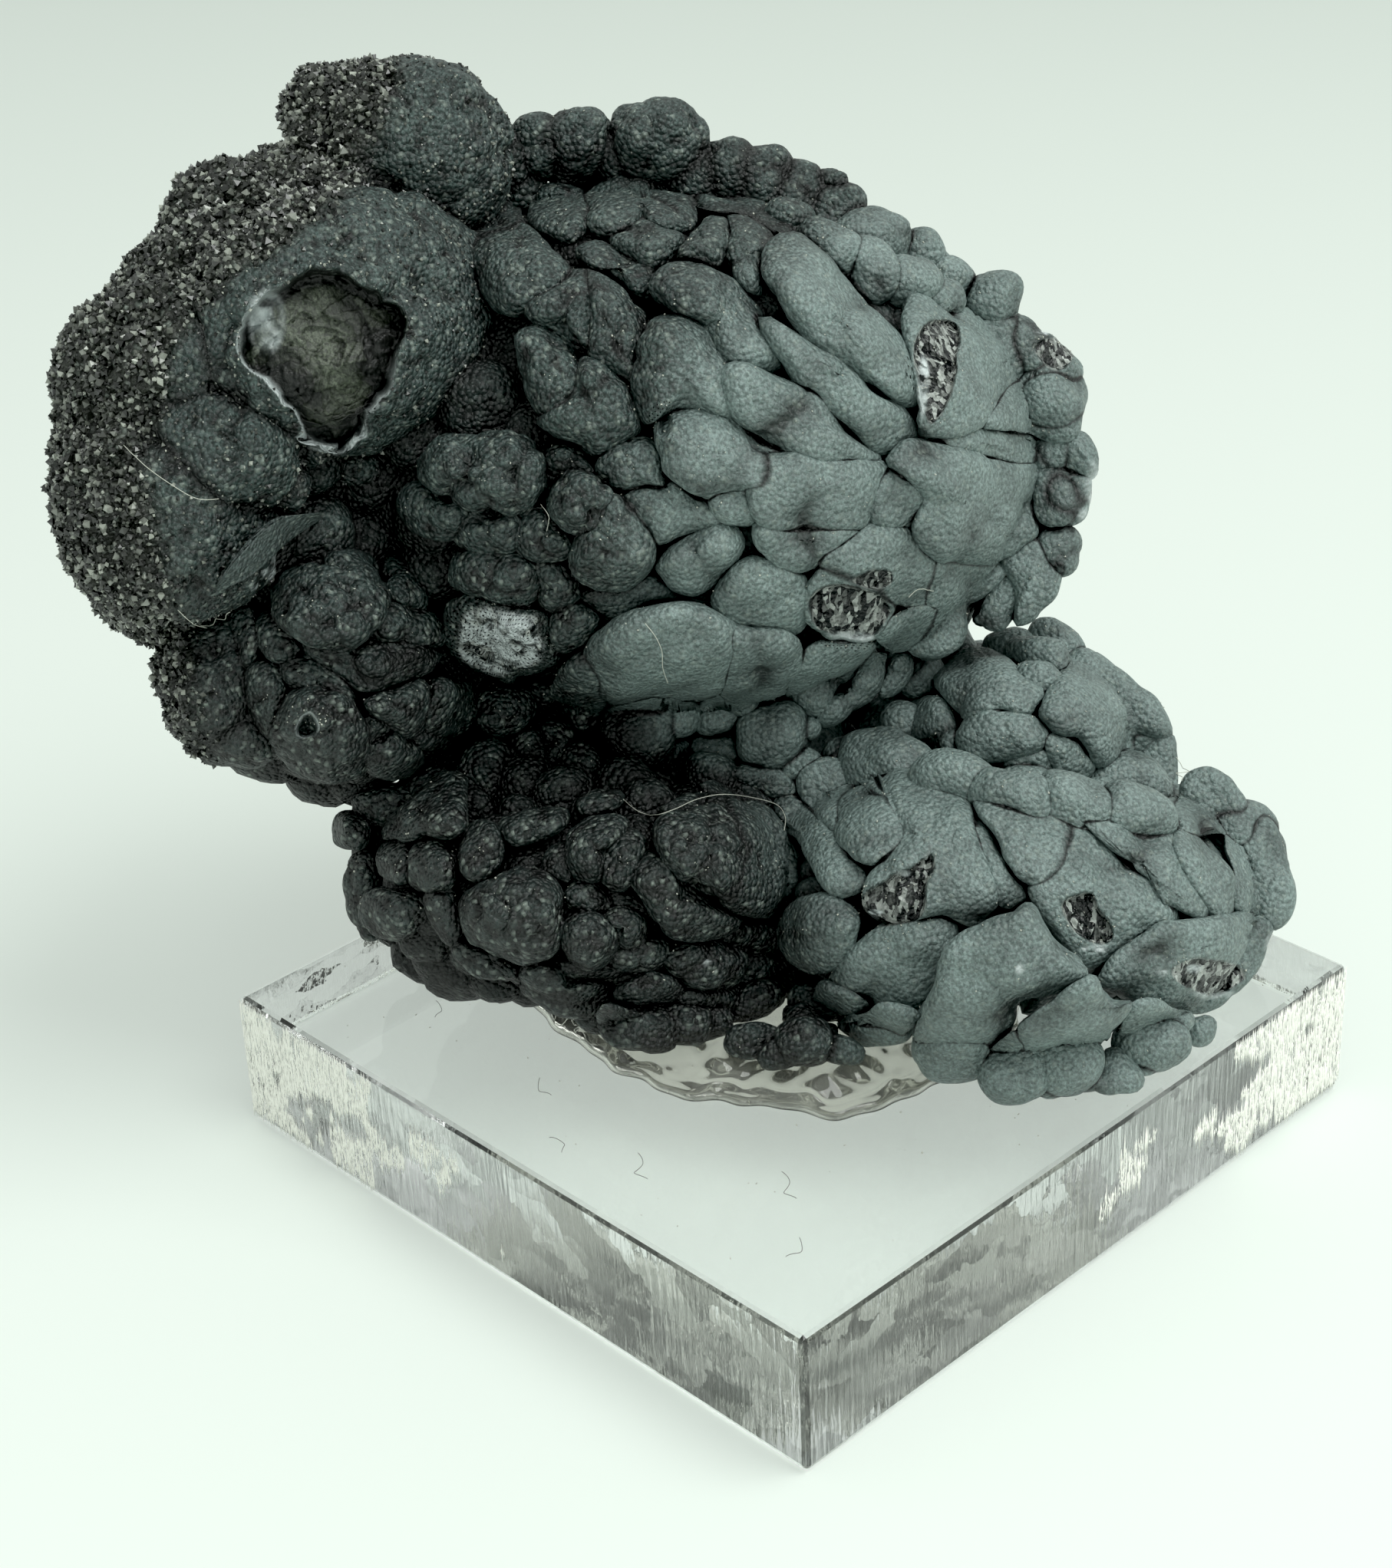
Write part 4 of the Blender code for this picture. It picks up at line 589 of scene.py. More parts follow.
# A lobe's form: rounded in plan, and flatter on top. Then the distance between the mesh's points
# in millimetres on what the camera sees, on the even lobes, on those behind and on the cores, and
# how deep inside another form a face has to lie to be left out
ROUNDNESS = 2.2
FLATNESS = 2.4
SEEN_SPACING = 0.4
BODY_SPACING = 0.8
BACK_SPACING = 1.05
CORE_SPACING = 1.2
HIDDEN_DEPTH = 0.9


def all_pairs(values):
    """Each value with each value, as two flat arrays."""
    return (grid.ravel() for grid in np.meshgrid(values, values, indexing="ij"))


def square_cells(side):
    """Quads that join the points of a square grid with that many points along each side."""
    corner = (np.arange(side - 1)[:, None] * side + np.arange(side - 1)).ravel()
    return np.stack([corner, corner + side, corner + side + 1, corner + 1], axis=1)


def sphere_grid(squares):
    """Directions and quads of a cube blown up to a sphere. On each of its six faces a direction is
    a function of two angles from -45 to 45 degrees; points on shared edges are merged."""
    slope = np.tan(np.linspace(-math.pi / 4, math.pi / 4, squares + 1))
    a, b = all_pairs(slope)
    one = np.ones_like(a)
    faces = [np.stack([a, b, one], axis=1), np.stack([b, a, -one], axis=1)]
    points = unit(np.concatenate([np.roll(face, axis, axis=1) for axis in range(3) for face in faces]))
    quads = np.concatenate([square_cells(squares + 1) + len(a) * face for face in range(6)])
    first, merged = np.unique(np.round(points, 5), axis=0, return_index=True, return_inverse=True)[1:]
    return points[first], merged.ravel()[quads]


def gauge(local):
    """1 on a lobe's surface and less inside, for points in its own axes in units of its radii."""
    plan = np.abs(local[..., 0]) ** ROUNDNESS + np.abs(local[..., 1]) ** ROUNDNESS
    return (plan ** (FLATNESS / ROUNDNESS) + np.abs(local[..., 2]) ** FLATNESS) ** (1 / FLATNESS)


# A pillow's form: its edge rounds over and under to this angle, then drops to a root in the core
RIM_STEPS = 96
RIM_ANGLES = np.arange(RIM_STEPS) * 2 * math.pi / RIM_STEPS
UNDERCUT = math.radians(125)
ROOT_DEPTH = 2.2
LONGEST_ROOT = 5
TOP_SWELL = 0.13
WIDEST_EDGE = 0.92


def curved(a, b, c, d, part):
    """Points a share of the way from b to c on the smooth curve through four rows of points
    (Catmull-Rom)."""
    return b + 0.5 * part * (c - a + part * (2 * a - 5 * b + 4 * c - d + part * (3 * (b - c) + d - a)))


def rim_of(outline, spread):
    """Middle of an outline, and the distance to the smooth closed curve through its points in
    evenly spaced directions, grown by the spread."""
    points = np.array(outline, float)
    corners = [np.roll(points, shift, axis=0) for shift in (1, 0, -1, -2)]
    curve = curved(*corners, np.linspace(0, 1, 8, endpoint=False)[:, None, None])
    curve = curve.transpose(1, 0, 2).reshape(-1, 2)
    middle = (curve.max(axis=0) + curve.min(axis=0)) / 4 + curve.mean(axis=0) / 2
    offset = curve - middle
    angle = np.arctan2(offset[:, 1], offset[:, 0])
    radius = np.interp(RIM_ANGLES, *zip(*sorted(zip(angle % (2 * math.pi), np.hypot(*offset.T)))),
                       period=2 * math.pi)
    soft = 0.5 * radius + 0.25 * (np.roll(radius, 1) + np.roll(radius, -1))
    return middle, soft + spread


def rim_towards(x, y, rims):
    """Distance from the middle to the rim in the direction of (x, y)."""
    return np.interp(np.arctan2(y, x), RIM_ANGLES, rims, period=2 * math.pi)


def pillow_top(reach, rim, edge, lift):
    """Height of a pillow's upper side at a distance from its middle: a slight swell, then a
    quarter circle of the edge's width down to the rim."""
    edge = np.minimum(edge, WIDEST_EDGE * rim)
    over = np.clip((reach - (rim - edge)) / edge, 0, 1)
    return lift + edge * np.sqrt(1 - over ** 2) + TOP_SWELL * rim * (1 - np.clip(reach / rim, 0, 1) ** 2)


def clear_lift(core, middle, rims, edge, lift):
    """Lift that keeps a pillow's lowest edge above the mineral's lowest level."""
    across, up = middle[:, None] + rims * np.stack([np.cos(RIM_ANGLES), np.sin(RIM_ANGLES)])
    spots = sighted(core, across, up)
    towards = unit(VIEWER - spots)
    height = to_object(spots + towards * lift)[:, 2]
    return lift + (np.maximum(STONE_FLOOR - height, 0) / (towards @ VIEW[2])).max()


def pillow_grid(core, middle, rims, edge, lift, slope, spacing):
    """Points and quads of a pillow, a function of the direction around it and of the way along
    its profile: a round-cornered square of cells on top, then rings over the edge, under it by
    35 degrees, and down to its root in the core."""
    squares = int(np.clip(2 * math.pi * rims.mean() / 8 / spacing, 3, 40))
    steps = np.arange(-squares, squares + 1)
    a, b = all_pairs(steps)
    ring = np.maximum(np.abs(a), np.abs(b))
    beside = np.where(a < 0, math.pi, 0) + b / np.where(a == 0, 1, a) * math.pi / 4
    across = np.where(b < 0, -1, 1) * math.pi / 2 - a / np.where(b == 0, 1, b) * math.pi / 4
    turned = np.where(np.abs(a) >= np.abs(b), beside, across)
    quads = [square_cells(2 * squares + 1)]
    border = np.flatnonzero(ring == squares)
    border = border[np.argsort(turned[border] % (2 * math.pi))]
    around = turned[border]
    rim = np.interp(turned, RIM_ANGLES, rims, period=2 * math.pi)
    angles, plans = [turned], [ring / squares * (rim - np.minimum(edge, WIDEST_EDGE * rim))]
    heights = [pillow_top(plans[0], rim, edge, lift)]
    rim = rim[border]
    round_edge = np.minimum(edge, WIDEST_EDGE * rim)
    bends = max(3, int(UNDERCUT * edge / spacing))
    drop = min(max(lift + edge * math.cos(UNDERCUT) + ROOT_DEPTH, 0.6), LONGEST_ROOT)
    drops = max(1, int(drop / (2 * spacing)))
    previous, made = border, len(ring)
    for number in range(1, bends + drops + 1):
        bend = UNDERCUT * min(number / bends, 1)
        fallen = max(number - bends, 0) / drops * drop
        plan = rim - round_edge * (1 - math.sin(bend))
        swell = TOP_SWELL * rim * (1 - (plan / rim) ** 2) * (bend < math.pi / 2)
        angles.append(around)
        plans.append(plan)
        heights.append(lift + round_edge * math.cos(bend) + swell - fallen)
        current = made + np.arange(len(border))
        quads.append(np.stack([previous, current, np.roll(current, -1), np.roll(previous, -1)], axis=1))
        previous, made = current, made + len(border)
    angle, plan, height = (np.concatenate(column) for column in (angles, plans, heights))
    spots = sighted(core, middle[0] + plan * np.cos(angle), middle[1] + plan * np.sin(angle))
    height += plan * (slope[0] * np.cos(angle) + slope[1] * np.sin(angle))
    spots = spots + unit(VIEWER - spots) * height[:, None]
    short = np.maximum(STONE_FLOOR - to_object(spots)[:, 2], 0)
    return spots + VIEW[2] * short[:, None], np.concatenate(quads)


def surface_normals(points, quads):
    """Outward normal at each point, from the diagonals of the quads around it."""
    facing = np.cross(points[quads[:, 2]] - points[quads[:, 0]], points[quads[:, 3]] - points[quads[:, 1]])
    total = np.stack([np.bincount(quads.ravel(), np.repeat(facing[:, axis], 4), len(points))
                      for axis in range(3)], axis=1)
    return unit(total)


def gather_lobes():
    """All round lobes as joined arrays (centres, axes, radii, grid spacing, piece number), the
    sunken cores among them, and the names of the pieces."""
    rows, names = [], []
    for name, core, lobes, growth, *rest in COVERINGS:
        if lobes:
            centres, axes, radii = seen_lobes(core, lobes, growth)
            count = len(radii)
            rows.append((centres, axes, radii, np.full(count, SEEN_SPACING), np.full(count, len(names))))
        names.append(name)
    for core, count, radius, sunk in FILLINGS:
        centres, axes, radii, away = even_lobes(core, count, radius, sunk)
        spacing = np.where(away, BACK_SPACING, BODY_SPACING)
        rows.append((centres, axes, radii, spacing, np.full(count, len(names))))
        centre, radii = np.array(CORES[core], float)
        inner = radii - CORE_SUNK
        inner *= min(1, (to_object(centre)[2] - STONE_FLOOR) / np.linalg.norm(VIEW[2] * inner))
        rows.append((centre[None], np.eye(3)[None], inner[None], np.array([CORE_SPACING]),
                     np.array([len(names)])))
        names.append(core + "_body")
    return [np.concatenate(column) for column in zip(*rows)], names


(CENTRES, AXES, RADII, SPACING, LOBE_PIECE), PIECE_NAMES = gather_lobes()
PILLOWS = [(number, core, *rim_of(outline, spread), edge, lift)
           for number, (name, core, lobes, growth, pillows, heading, slope) in enumerate(COVERINGS)
           for lift, edge, spread, outline in pillows]
PILLOW_SLOPE = np.array([(slope * math.cos(math.radians(heading)), slope * math.sin(math.radians(heading)))
                         for *rest, pillows, heading, slope in COVERINGS for row in pillows])
PILLOW_CORE = [row[1] for row in PILLOWS]
PILLOW_MIDDLE = np.array([row[2] for row in PILLOWS])
PILLOW_RIMS = np.array([row[3] for row in PILLOWS])
PILLOW_EDGE = np.array([row[4] for row in PILLOWS])
PILLOW_LIFT = np.array([clear_lift(*row[1:]) for row in PILLOWS])


# Distance that stands for nothing near
FAR_OFF = 9.0


def lobe_gap(points, chosen):
    """Rough distance of points outside chosen lobes, negative inside."""
    offset = points[:, None, :] - CENTRES[chosen]
    inner = np.einsum("vkx,kax->vka", offset, AXES[chosen]) / RADII[chosen]
    return np.linalg.norm(offset, axis=2) * (1 - 1 / np.maximum(gauge(inner), 1e-3))


def pillow_gap(points, chosen):
    """Rough distance of points outside chosen pillows, negative inside."""
    across, up = in_plane(points)
    cores = {PILLOW_CORE[k] for k in chosen}
    above = {core: points[:, 2] - sighted(core, across, up)[:, 2] for core in cores}
    gaps = np.full((len(points), len(chosen)), FAR_OFF)
    for column, k in enumerate(chosen):
        x, y = across - PILLOW_MIDDLE[k, 0], up - PILLOW_MIDDLE[k, 1]
        reach = np.hypot(x, y)
        rim = rim_towards(x, y, PILLOW_RIMS[k])
        height = above[PILLOW_CORE[k]] - PILLOW_SLOPE[k, 0] * x - PILLOW_SLOPE[k, 1] * y
        top = pillow_top(reach, rim, PILLOW_EDGE[k], PILLOW_LIFT[k])
        root = np.maximum(-2 * ROOT_DEPTH, PILLOW_LIFT[k] - LONGEST_ROOT)
        gaps[:, column] = np.maximum.reduce([reach - rim, height - top, root - height])
    return gaps


def skin():
    """Points, normals, clearance from the nearest other form, form's piece and quads of the skin,
    without the faces that lie deep inside another form."""
    grids, forms = {}, []
    for lobe in range(len(CENTRES)):
        squares = int(np.clip(1.5708 * RADII[lobe].mean() / SPACING[lobe], 5, 80))
        if squares not in grids:
            grids[squares] = sphere_grid(squares)
        directions, faces = grids[squares]
        local = directions / gauge(directions)[:, None]
        forms.append((CENTRES[lobe] + (local * RADII[lobe]) @ AXES[lobe], faces, LOBE_PIECE[lobe]))
    for (number, core, middle, rims, edge, lift), cleared, slope in zip(PILLOWS, PILLOW_LIFT, PILLOW_SLOPE):
        forms.append((*pillow_grid(core, middle, rims, edge, cleared, slope, SEEN_SPACING), number))
    low = np.array([form[0].min(axis=0) for form in forms])
    high = np.array([form[0].max(axis=0) for form in forms])
    lobes = len(CENTRES)
    points, normals, clearance, owner, quads = [], [], [], [], []
    made = 0
    for form, (spots, faces, piece) in enumerate(forms):
        touching = ((low < high[form]) & (high > low[form])).all(axis=1)
        touching[form] = False
        near = np.flatnonzero(touching)
        free = lobe_gap(spots, near[near < lobes]).min(axis=1, initial=FAR_OFF)
        free = np.minimum(free, pillow_gap(spots, near[near >= lobes] - lobes).min(axis=1, initial=FAR_OFF))
        shown = (free[faces] > -HIDDEN_DEPTH).any(axis=1)
        if not shown.any():
            continue
        used, renumbered = np.unique(faces[shown], return_inverse=True)
        points.append(spots[used])
        normals.append(surface_normals(spots, faces)[used])
        clearance.append(free[used])
        owner.append(np.full(len(used), piece))
        quads.append(renumbered.reshape(-1, 4) + made)
        made += len(used)
    return [np.concatenate(column) for column in (points, normals, clearance, owner, quads)]


POINTS, NORMALS, CLEARANCE, OWNER, QUADS = skin()


def scattered(cells, seed):
    """Three numbers from 0 to 1 for each whole-numbered cell, by mixing its bits."""
    x, y, z = np.moveaxis(cells, -1, 0)
    mixed = x * 73856093 ^ y * 19349663 ^ z * 83492791 ^ seed * 40503
    mixed = (mixed ^ (mixed >> 13)) * 1274126177 & 0x7FFFFFFF
    mixed = (mixed ^ (mixed >> 11)) * 747796405 & 0x7FFFFFFF
    mixed ^= mixed >> 15
    return np.stack([mixed & 1023, (mixed >> 10) & 1023, (mixed >> 20) & 1023], axis=-1) / 1023


def waves(points, size, seed):
    """Smooth noise from -1 to 1: random values at the corners of cubes of that size, blended."""
    place = points / size
    cell = np.floor(place).astype(np.int64)
    part = place - cell
    part = part * part * (3 - 2 * part)
    total = np.zeros(len(points))
    for corner in np.ndindex(2, 2, 2):
        share = np.prod(np.where(corner, part, 1 - part), axis=1)
        total += share * scattered(cell + corner, seed)[:, 0]
    return 2 * total - 1


def grains(points, size, seed):
    """Distance to the nearest of points strewn one to a cube, in cube sizes, and the height of a
    randomly tilted facet round each of them."""
    place = points / size
    cell = np.floor(place).astype(np.int64)
    nearest = np.full(len(points), FAR_OFF)
    facet = np.zeros(len(points))
    for step in np.ndindex(3, 3, 3):
        other = cell + np.array(step) - 1
        away = place - other - scattered(other, seed)
        distance = np.linalg.norm(away, axis=1)
        closer = distance < nearest
        tilted = dot(away, scattered(other, seed + 50) - 0.5)
        facet = np.where(closer, tilted, facet)
        nearest = np.where(closer, distance, nearest)
    return nearest, facet


def bulges(points, size, seed):
    """Round swellings from 0 to 1 about one size apart, with a crease where two of them meet."""
    return np.sqrt(np.maximum(1 - (grains(points, size, seed)[0] / 0.85) ** 2, 0))


def ramp(values, low, high):
    """0 up to the low value, 1 from the high one on, and a smooth rise between them."""
    part = np.clip((values - low) / (high - low), 0, 1)
    return part * part * (3 - 2 * part)


def within(outline, across, up, soft):
    """1 inside an outline, 0 outside it, with a soft edge of that width inside the rim."""
    middle, rims = rim_of(outline, 0)
    x, y = across - middle[0], up - middle[1]
    return ramp(rim_towards(x, y, rims) - np.hypot(x, y), 0, soft)


# Where the crust of crystals begins on the left, where the smooth lobes begin on the right and
# where the warty domes end, as pairs of height and distance across
CRUST_EDGE = [
    (0, -46), (12, -48), (20, -50), (30, -52), (42, -50), (48, -44), (53, -37), (58, -32), (69, -28),
]
SMOOTH_EDGE = [
    (-30, 12), (-20, 9), (-10, 5), (0, 4), (4, -8), (10, -14), (17, -11), (24, -9), (30, -8), (40, -4),
    (50, 2), (60, 20),
]
DOME_EDGE = [
    (10, -44), (30, -36), (36, -24), (50, -22), (55, -24), (60, -16), (62, 10), (66, 30),
]
# Broken places. The crater in the largest left dome, then the fresh chips, with their depths
CRATER_DEPTH = 3.0
CRATER = [
    (-40, 48), (-37.5, 49.2), (-35, 49.3), (-31.5, 48), (-28.8, 46), (-28.2, 43.5), (-29.7, 39.5),
    (-31, 36), (-32, 33.6), (-35, 32.8), (-37.5, 33.2), (-38.8, 35.2), (-40.5, 37.8), (-43, 40),
    (-44.4, 42.4), (-43.6, 45.5),
]
CHIPS = [
    (1.5, [(20.9, 41.8), (21.3, 39.3), (21.9, 36.7), (22.4, 34.9), (23.4, 35), (25.2, 39.8), (25.3, 44.4),
     (23.4, 44.9), (21.6, 44)]),
    (0.9, [(32.7, 42.4), (34.3, 43.4), (36, 42.6), (36.5, 41.4), (36, 40.3), (34.7, 39.9), (33.2, 40.8)]),
    (1.3, [(10.9, 17.8), (11.7, 19), (13.8, 19.5), (15.8, 19.1), (18.1, 18.1), (19, 16.8), (18.4, 15.8),
     (17.1, 14.4), (15, 13.9), (12.5, 14.4), (11.2, 15.8)]),
    (0.7, [(14.9, 19.9), (16.8, 21), (18.9, 20.6), (19, 19.3), (17.1, 18.7), (15.5, 19.3)]),
    (1.3, [(15.4, -11.4), (17.5, -9.9), (19.2, -8.5), (21, -7.9), (22.7, -6.5), (23.1, -7.7), (22.4, -9.6),
     (22.2, -11.9), (21.2, -13.3), (19.2, -13.7), (17.3, -13.2), (16, -12.5)]),
    (1.1, [(35.2, -11.6), (36.6, -10.6), (38.3, -10.5), (38.9, -11.9), (40, -13.4), (40.3, -14.8),
     (39.2, -15.6), (37.5, -15.1), (36.1, -13.9)]),
    (0.6, [(45.8, -18.2), (47.5, -16.9), (49.5, -16.7), (51.8, -17.2), (53.2, -18.4), (51.8, -19.7),
     (49.5, -20.3), (47.2, -19.7)]),
]
# Leached places: the white lobe, the pits with their depths, and pale spots (across, up, half
# width, half height)
WHITE_LOBE = [
    (-23, 13.4), (-22.6, 16.4), (-20.5, 17.2), (-17.5, 16.8), (-15.2, 16.2), (-14.9, 14.4), (-14.4, 12.6),
    (-15.6, 11.4), (-17.2, 11), (-18.6, 10.2), (-20.6, 11), (-22.4, 11.8),
]
PITS = [
    (1.6, [(-38.5, 5.7), (-37.9, 6.7), (-37, 7), (-36.3, 6), (-36.5, 4.9), (-37.4, 4.5), (-38.3, 4.8)]),
    (1.5, [(-3.7, 34.6), (-3.4, 35.8), (-2.7, 36.1), (-2.2, 34.8), (-2.5, 33.6), (-3.3, 33.4)]),
    (0.9, [(32.9, 33.5), (33.4, 33.9), (34, 33.5), (33.4, 33.1)]),
]
PALE_SPOTS = [
    (-41.4, 44.6, 1.9, 3.2), (21.9, 38.6, 0.55, 3.2), (15, 14.2, 2.6, 0.5), (50.2, -20.2, 2.6, 0.35),
    (-40.2, 21.7, 1.0, 0.8), (-41.2, 20.4, 0.8, 0.6), (-42.9, 19.3, 0.5, 0.4), (38.6, -15.9, 1.5, 0.4),
    (31.1, -17.8, 0.45, 0.45), (38.2, 28.8, 0.7, 2.6), (37.6, 26, 0.9, 0.7), (48, -17.8, 0.8, 0.45),
    (-16.3, -1, 0.5, 0.4), (1, -17.2, 0.5, 0.3), (18.4, -15.8, 0.5, 0.4), (17.2, -12.6, 0.9, 0.4),
    (20, -8.6, 0.8, 0.35), (-21, 37.9, 0.6, 0.5), (44.9, -18.2, 0.8, 0.4), (-36, 32.6, 1.4, 0.5),
    (55.6, -16.2, 0.5, 1.8), (34.4, 44, 1.5, 0.3), (-19.9, 16.4, 1.2, 0.5), (-16.4, 15.6, 0.9, 0.5),
]
# Lobes covered with knobs: across, up, radius
KNOBBLY = [
    (-20.3, 30, 6.5), (-11, 27.2, 3.8), (-35.3, 18, 6), (1, -5.5, 5.5), (-36.3, 4.6, 5), (-17.5, -12.6, 5),
]
# Sizes of the relief's forms in millimetres
SWELL = 5.6
SMALL_SWELL = 2.9
WART = 3.8
KNOB = 2.1
CRUST_KNOB = 1.7
BEAD = 1.05
FACET = 2.4


def zones(points, across, up):
    """Shares of crystal crust, smooth skin, warty domes and knobbly lobes at each point."""
    crust = ramp(np.interp(up, *zip(*CRUST_EDGE)) - across + 1.5 * waves(points, 5, 8), -1, 2)
    smooth = ramp(across - np.interp(up, *zip(*SMOOTH_EDGE)) + 2 * waves(points, 6, 9), -2, 9)
    domes = ramp(np.interp(up, *zip(*DOME_EDGE)) - across, 0, 4)
    knobbly = np.zeros(len(points))
    for u, v, radius in KNOBBLY:
        knobbly = np.maximum(knobbly, 1 - ramp(np.hypot(across - u, up - v), radius - 1.5, radius))
    return crust, smooth, domes, knobbly


def relief(points, seen):
    """Height added to the skin, depth cut into it away from the viewer, and the tones at each
    point: shares of crust, smooth skin, fresh fracture, pale crust and crater floor, and how near
    the top of a bead it is, which paints light on the tops and on the rough lobes higher up, painted shade in
    the low places between them, and painted shade on the crater's floor near its walls.
    Low swellings with creases everywhere, beads on the rougher lobes, warts on the domes, facets and ledges
    in the broken places."""
    across, up = in_plane(points)
    crust, smooth, domes, knobbly = zones(points, across, up)
    fine_distance, fine_facet = grains(points, BEAD, 2)
    coarse_facet = grains(points, FACET, 6)[1]
    fine = np.sqrt(np.maximum(1 - (fine_distance / 0.85) ** 2, 0))
    knobs, warts, swells = bulges(points, KNOB, 1), bulges(points, WART, 7), bulges(points, SWELL, 16)
    # Whole skin: swellings, then beads and knobs on the rough parts and warts on the domes
    height = 0.30 * waves(points, 3.4, 3) + 0.14 * waves(points, 1.5, 4)
    height += smooth * (0.75 * swells + 0.22 * bulges(points, SMALL_SWELL, 17) - 0.7)
    height += (1 - smooth) * (1 - domes) * (0.15 * warts + 0.4 * knobs + 0.12 * fine - 0.4)
    height += knobbly * (0.8 * knobs - 0.4) + crust * (1.1 * bulges(points, CRUST_KNOB, 19) - 0.5)
    height += domes * (1.4 * warts + 0.6 * knobs + 0.22 * fine - 1.4)
    # Painted light and shade: the tip tone is high on the tops of knobs, beads and swellings and on the rough
    # lobes higher up, and low between them
    tip = (1 - smooth) * (0.5 * knobs + 0.5 * fine) * (0.74 + 0.46 * ramp(up, 0, 40))
    tip += smooth * (0.5 + 0.5 * swells)
    # Broken places: flat-faced chips, pits, and the crater with its ledges and raised pale lip
    cut = np.zeros(len(points))
    fresh = 0.8 * within(WHITE_LOBE, across, up, 0.6) * seen
    for depth, outline in CHIPS:
        share = within(outline, across, up, 0.45) * seen
        cut += share * (depth + height - 1.2 * coarse_facet - 0.7 * fine_facet)
        fresh = np.maximum(fresh, within(outline, across, up, 0.25) * seen)
    for depth, outline in PITS:
        cut += within(outline, across, up, 0.5) * seen * depth
    broken = across + 0.5 * waves(points, 1.6, 14), up + 0.5 * waves(points, 1.6, 15)
    ledges = np.round(3 * waves(points * (0.7, 1.5, 1), 3.2, 18)) / 3
    crater = within(CRATER, *broken, 0.7) * seen
    cut += crater * (CRATER_DEPTH + height + 1.6 * ledges - 1.1 * coarse_facet - 0.7 * fine_facet)
    lip = np.clip(within(CRATER, *broken, 0.1) - within(CRATER, *broken, 0.8), 0, 1) * 1.5 * seen
    lip *= ramp(0.6 * (-36 - across) + (43 - up), -4, 2)
    lip += (within(PITS[0][1], across, up, 0.05) - within(PITS[0][1], across, up, 0.4)) * seen
    # Leached places, and painted shade that darkens the crater's floor towards its walls
    white = within(WHITE_LOBE, across, up, 0.8) * seen
    height += white * (0.9 * coarse_facet + 0.4 * fine_facet)
    pale = np.maximum(lip * (0.75 + 0.5 * waves(points, 2.2, 11)),
                      white * ramp(fine_facet + 0.5 * waves(points, 1.2, 12), -0.3, 0.15))
    for u, v, wide, tall in PALE_SPOTS:
        spot = 1 - ramp(np.hypot((across - u) / wide, (up - v) / tall), 0.6, 1.1)
        pale = np.maximum(pale, spot * seen * (0.7 + 0.9 * waves(points, 0.9, 13)))
    shade = np.clip(crater - within(CRATER, *broken, 2.2) * seen, 0, 1)
    tip = np.where(crater > 0.3, np.clip(0.62 + 0.6 * ledges + 0.5 * coarse_facet - shade, 0, 1), tip)
    return height, cut, {"crust": crust, "smooth": smooth * (1 - crater), "fresh": fresh,
                         "pale": np.clip(pale, 0, 1), "crater": crater, "tip": tip}


# Each cell in a broken place is split this many times along each side
REFINING = 3
# How open the even lobes count as, which keeps the painted shade dark in the gaps between the forms above
# them
FILLING_OPENNESS = 0.35


def refined():
    """The skin with each cell in and round a broken place split into nine, points merged."""
    across, up = in_plane(POINTS)
    chosen = np.zeros(len(POINTS), bool)
    for outline in [CRATER, WHITE_LOBE] + [row[1] for row in CHIPS + PITS]:
        middle, rims = rim_of(outline, 1.2)
        x, y = across - middle[0], up - middle[1]
        chosen |= np.hypot(x, y) < rim_towards(x, y, rims)
    split = (chosen & (OWNER < len(COVERINGS)))[QUADS].all(axis=1)
    s, t = all_pairs(np.linspace(0, 1, REFINING + 1))
    weights = np.stack([(1 - s) * (1 - t), s * (1 - t), s * t, (1 - s) * t], axis=1)
    together = np.concatenate([POINTS, NORMALS, CLEARANCE[:, None], OWNER[:, None]], axis=1)
    fine = np.einsum("wk,qkx->qwx", weights, together[QUADS[split]]).reshape(-1, 8)
    steps = np.arange(split.sum())[:, None, None] * (REFINING + 1) ** 2
    quads = (steps + square_cells(REFINING + 1)).reshape(-1, 4)
    first, merged = np.unique(np.round(fine[:, :3], 4), axis=0, return_index=True, return_inverse=True)[1:]
    fine = fine[first]
    points, normals, clearance, owner = (np.concatenate(pair) for pair in zip(
        (POINTS, NORMALS, CLEARANCE, OWNER), (fine[:, :3], unit(fine[:, 3:6]), fine[:, 6], fine[:, 7])))
    quads = np.concatenate([QUADS[~split], merged.ravel()[quads] + len(POINTS)])
    return points, normals, clearance, owner, quads


# The lobes are bent out of true by smooth noise of this size and reach before the relief goes on
BENDING = 0.42
BEND_SIZE = 4.2
POINTS = POINTS + BENDING * np.stack([waves(POINTS, BEND_SIZE, seed) for seed in (24, 25, 26)], axis=1)
POINTS, NORMALS, CLEARANCE, OWNER, QUADS = refined()
HEIGHT, CUT, TONES = relief(POINTS, OWNER < len(COVERINGS))
# Painted shade: by its clearance the skin darkens near other forms, and the even lobes more so
TONES["clearance"] = CLEARANCE * np.where(OWNER < len(COVERINGS), 1, FILLING_OPENNESS)
POINTS = POINTS + NORMALS * HEIGHT[:, None] - unit(VIEWER - POINTS) * CUT[:, None]


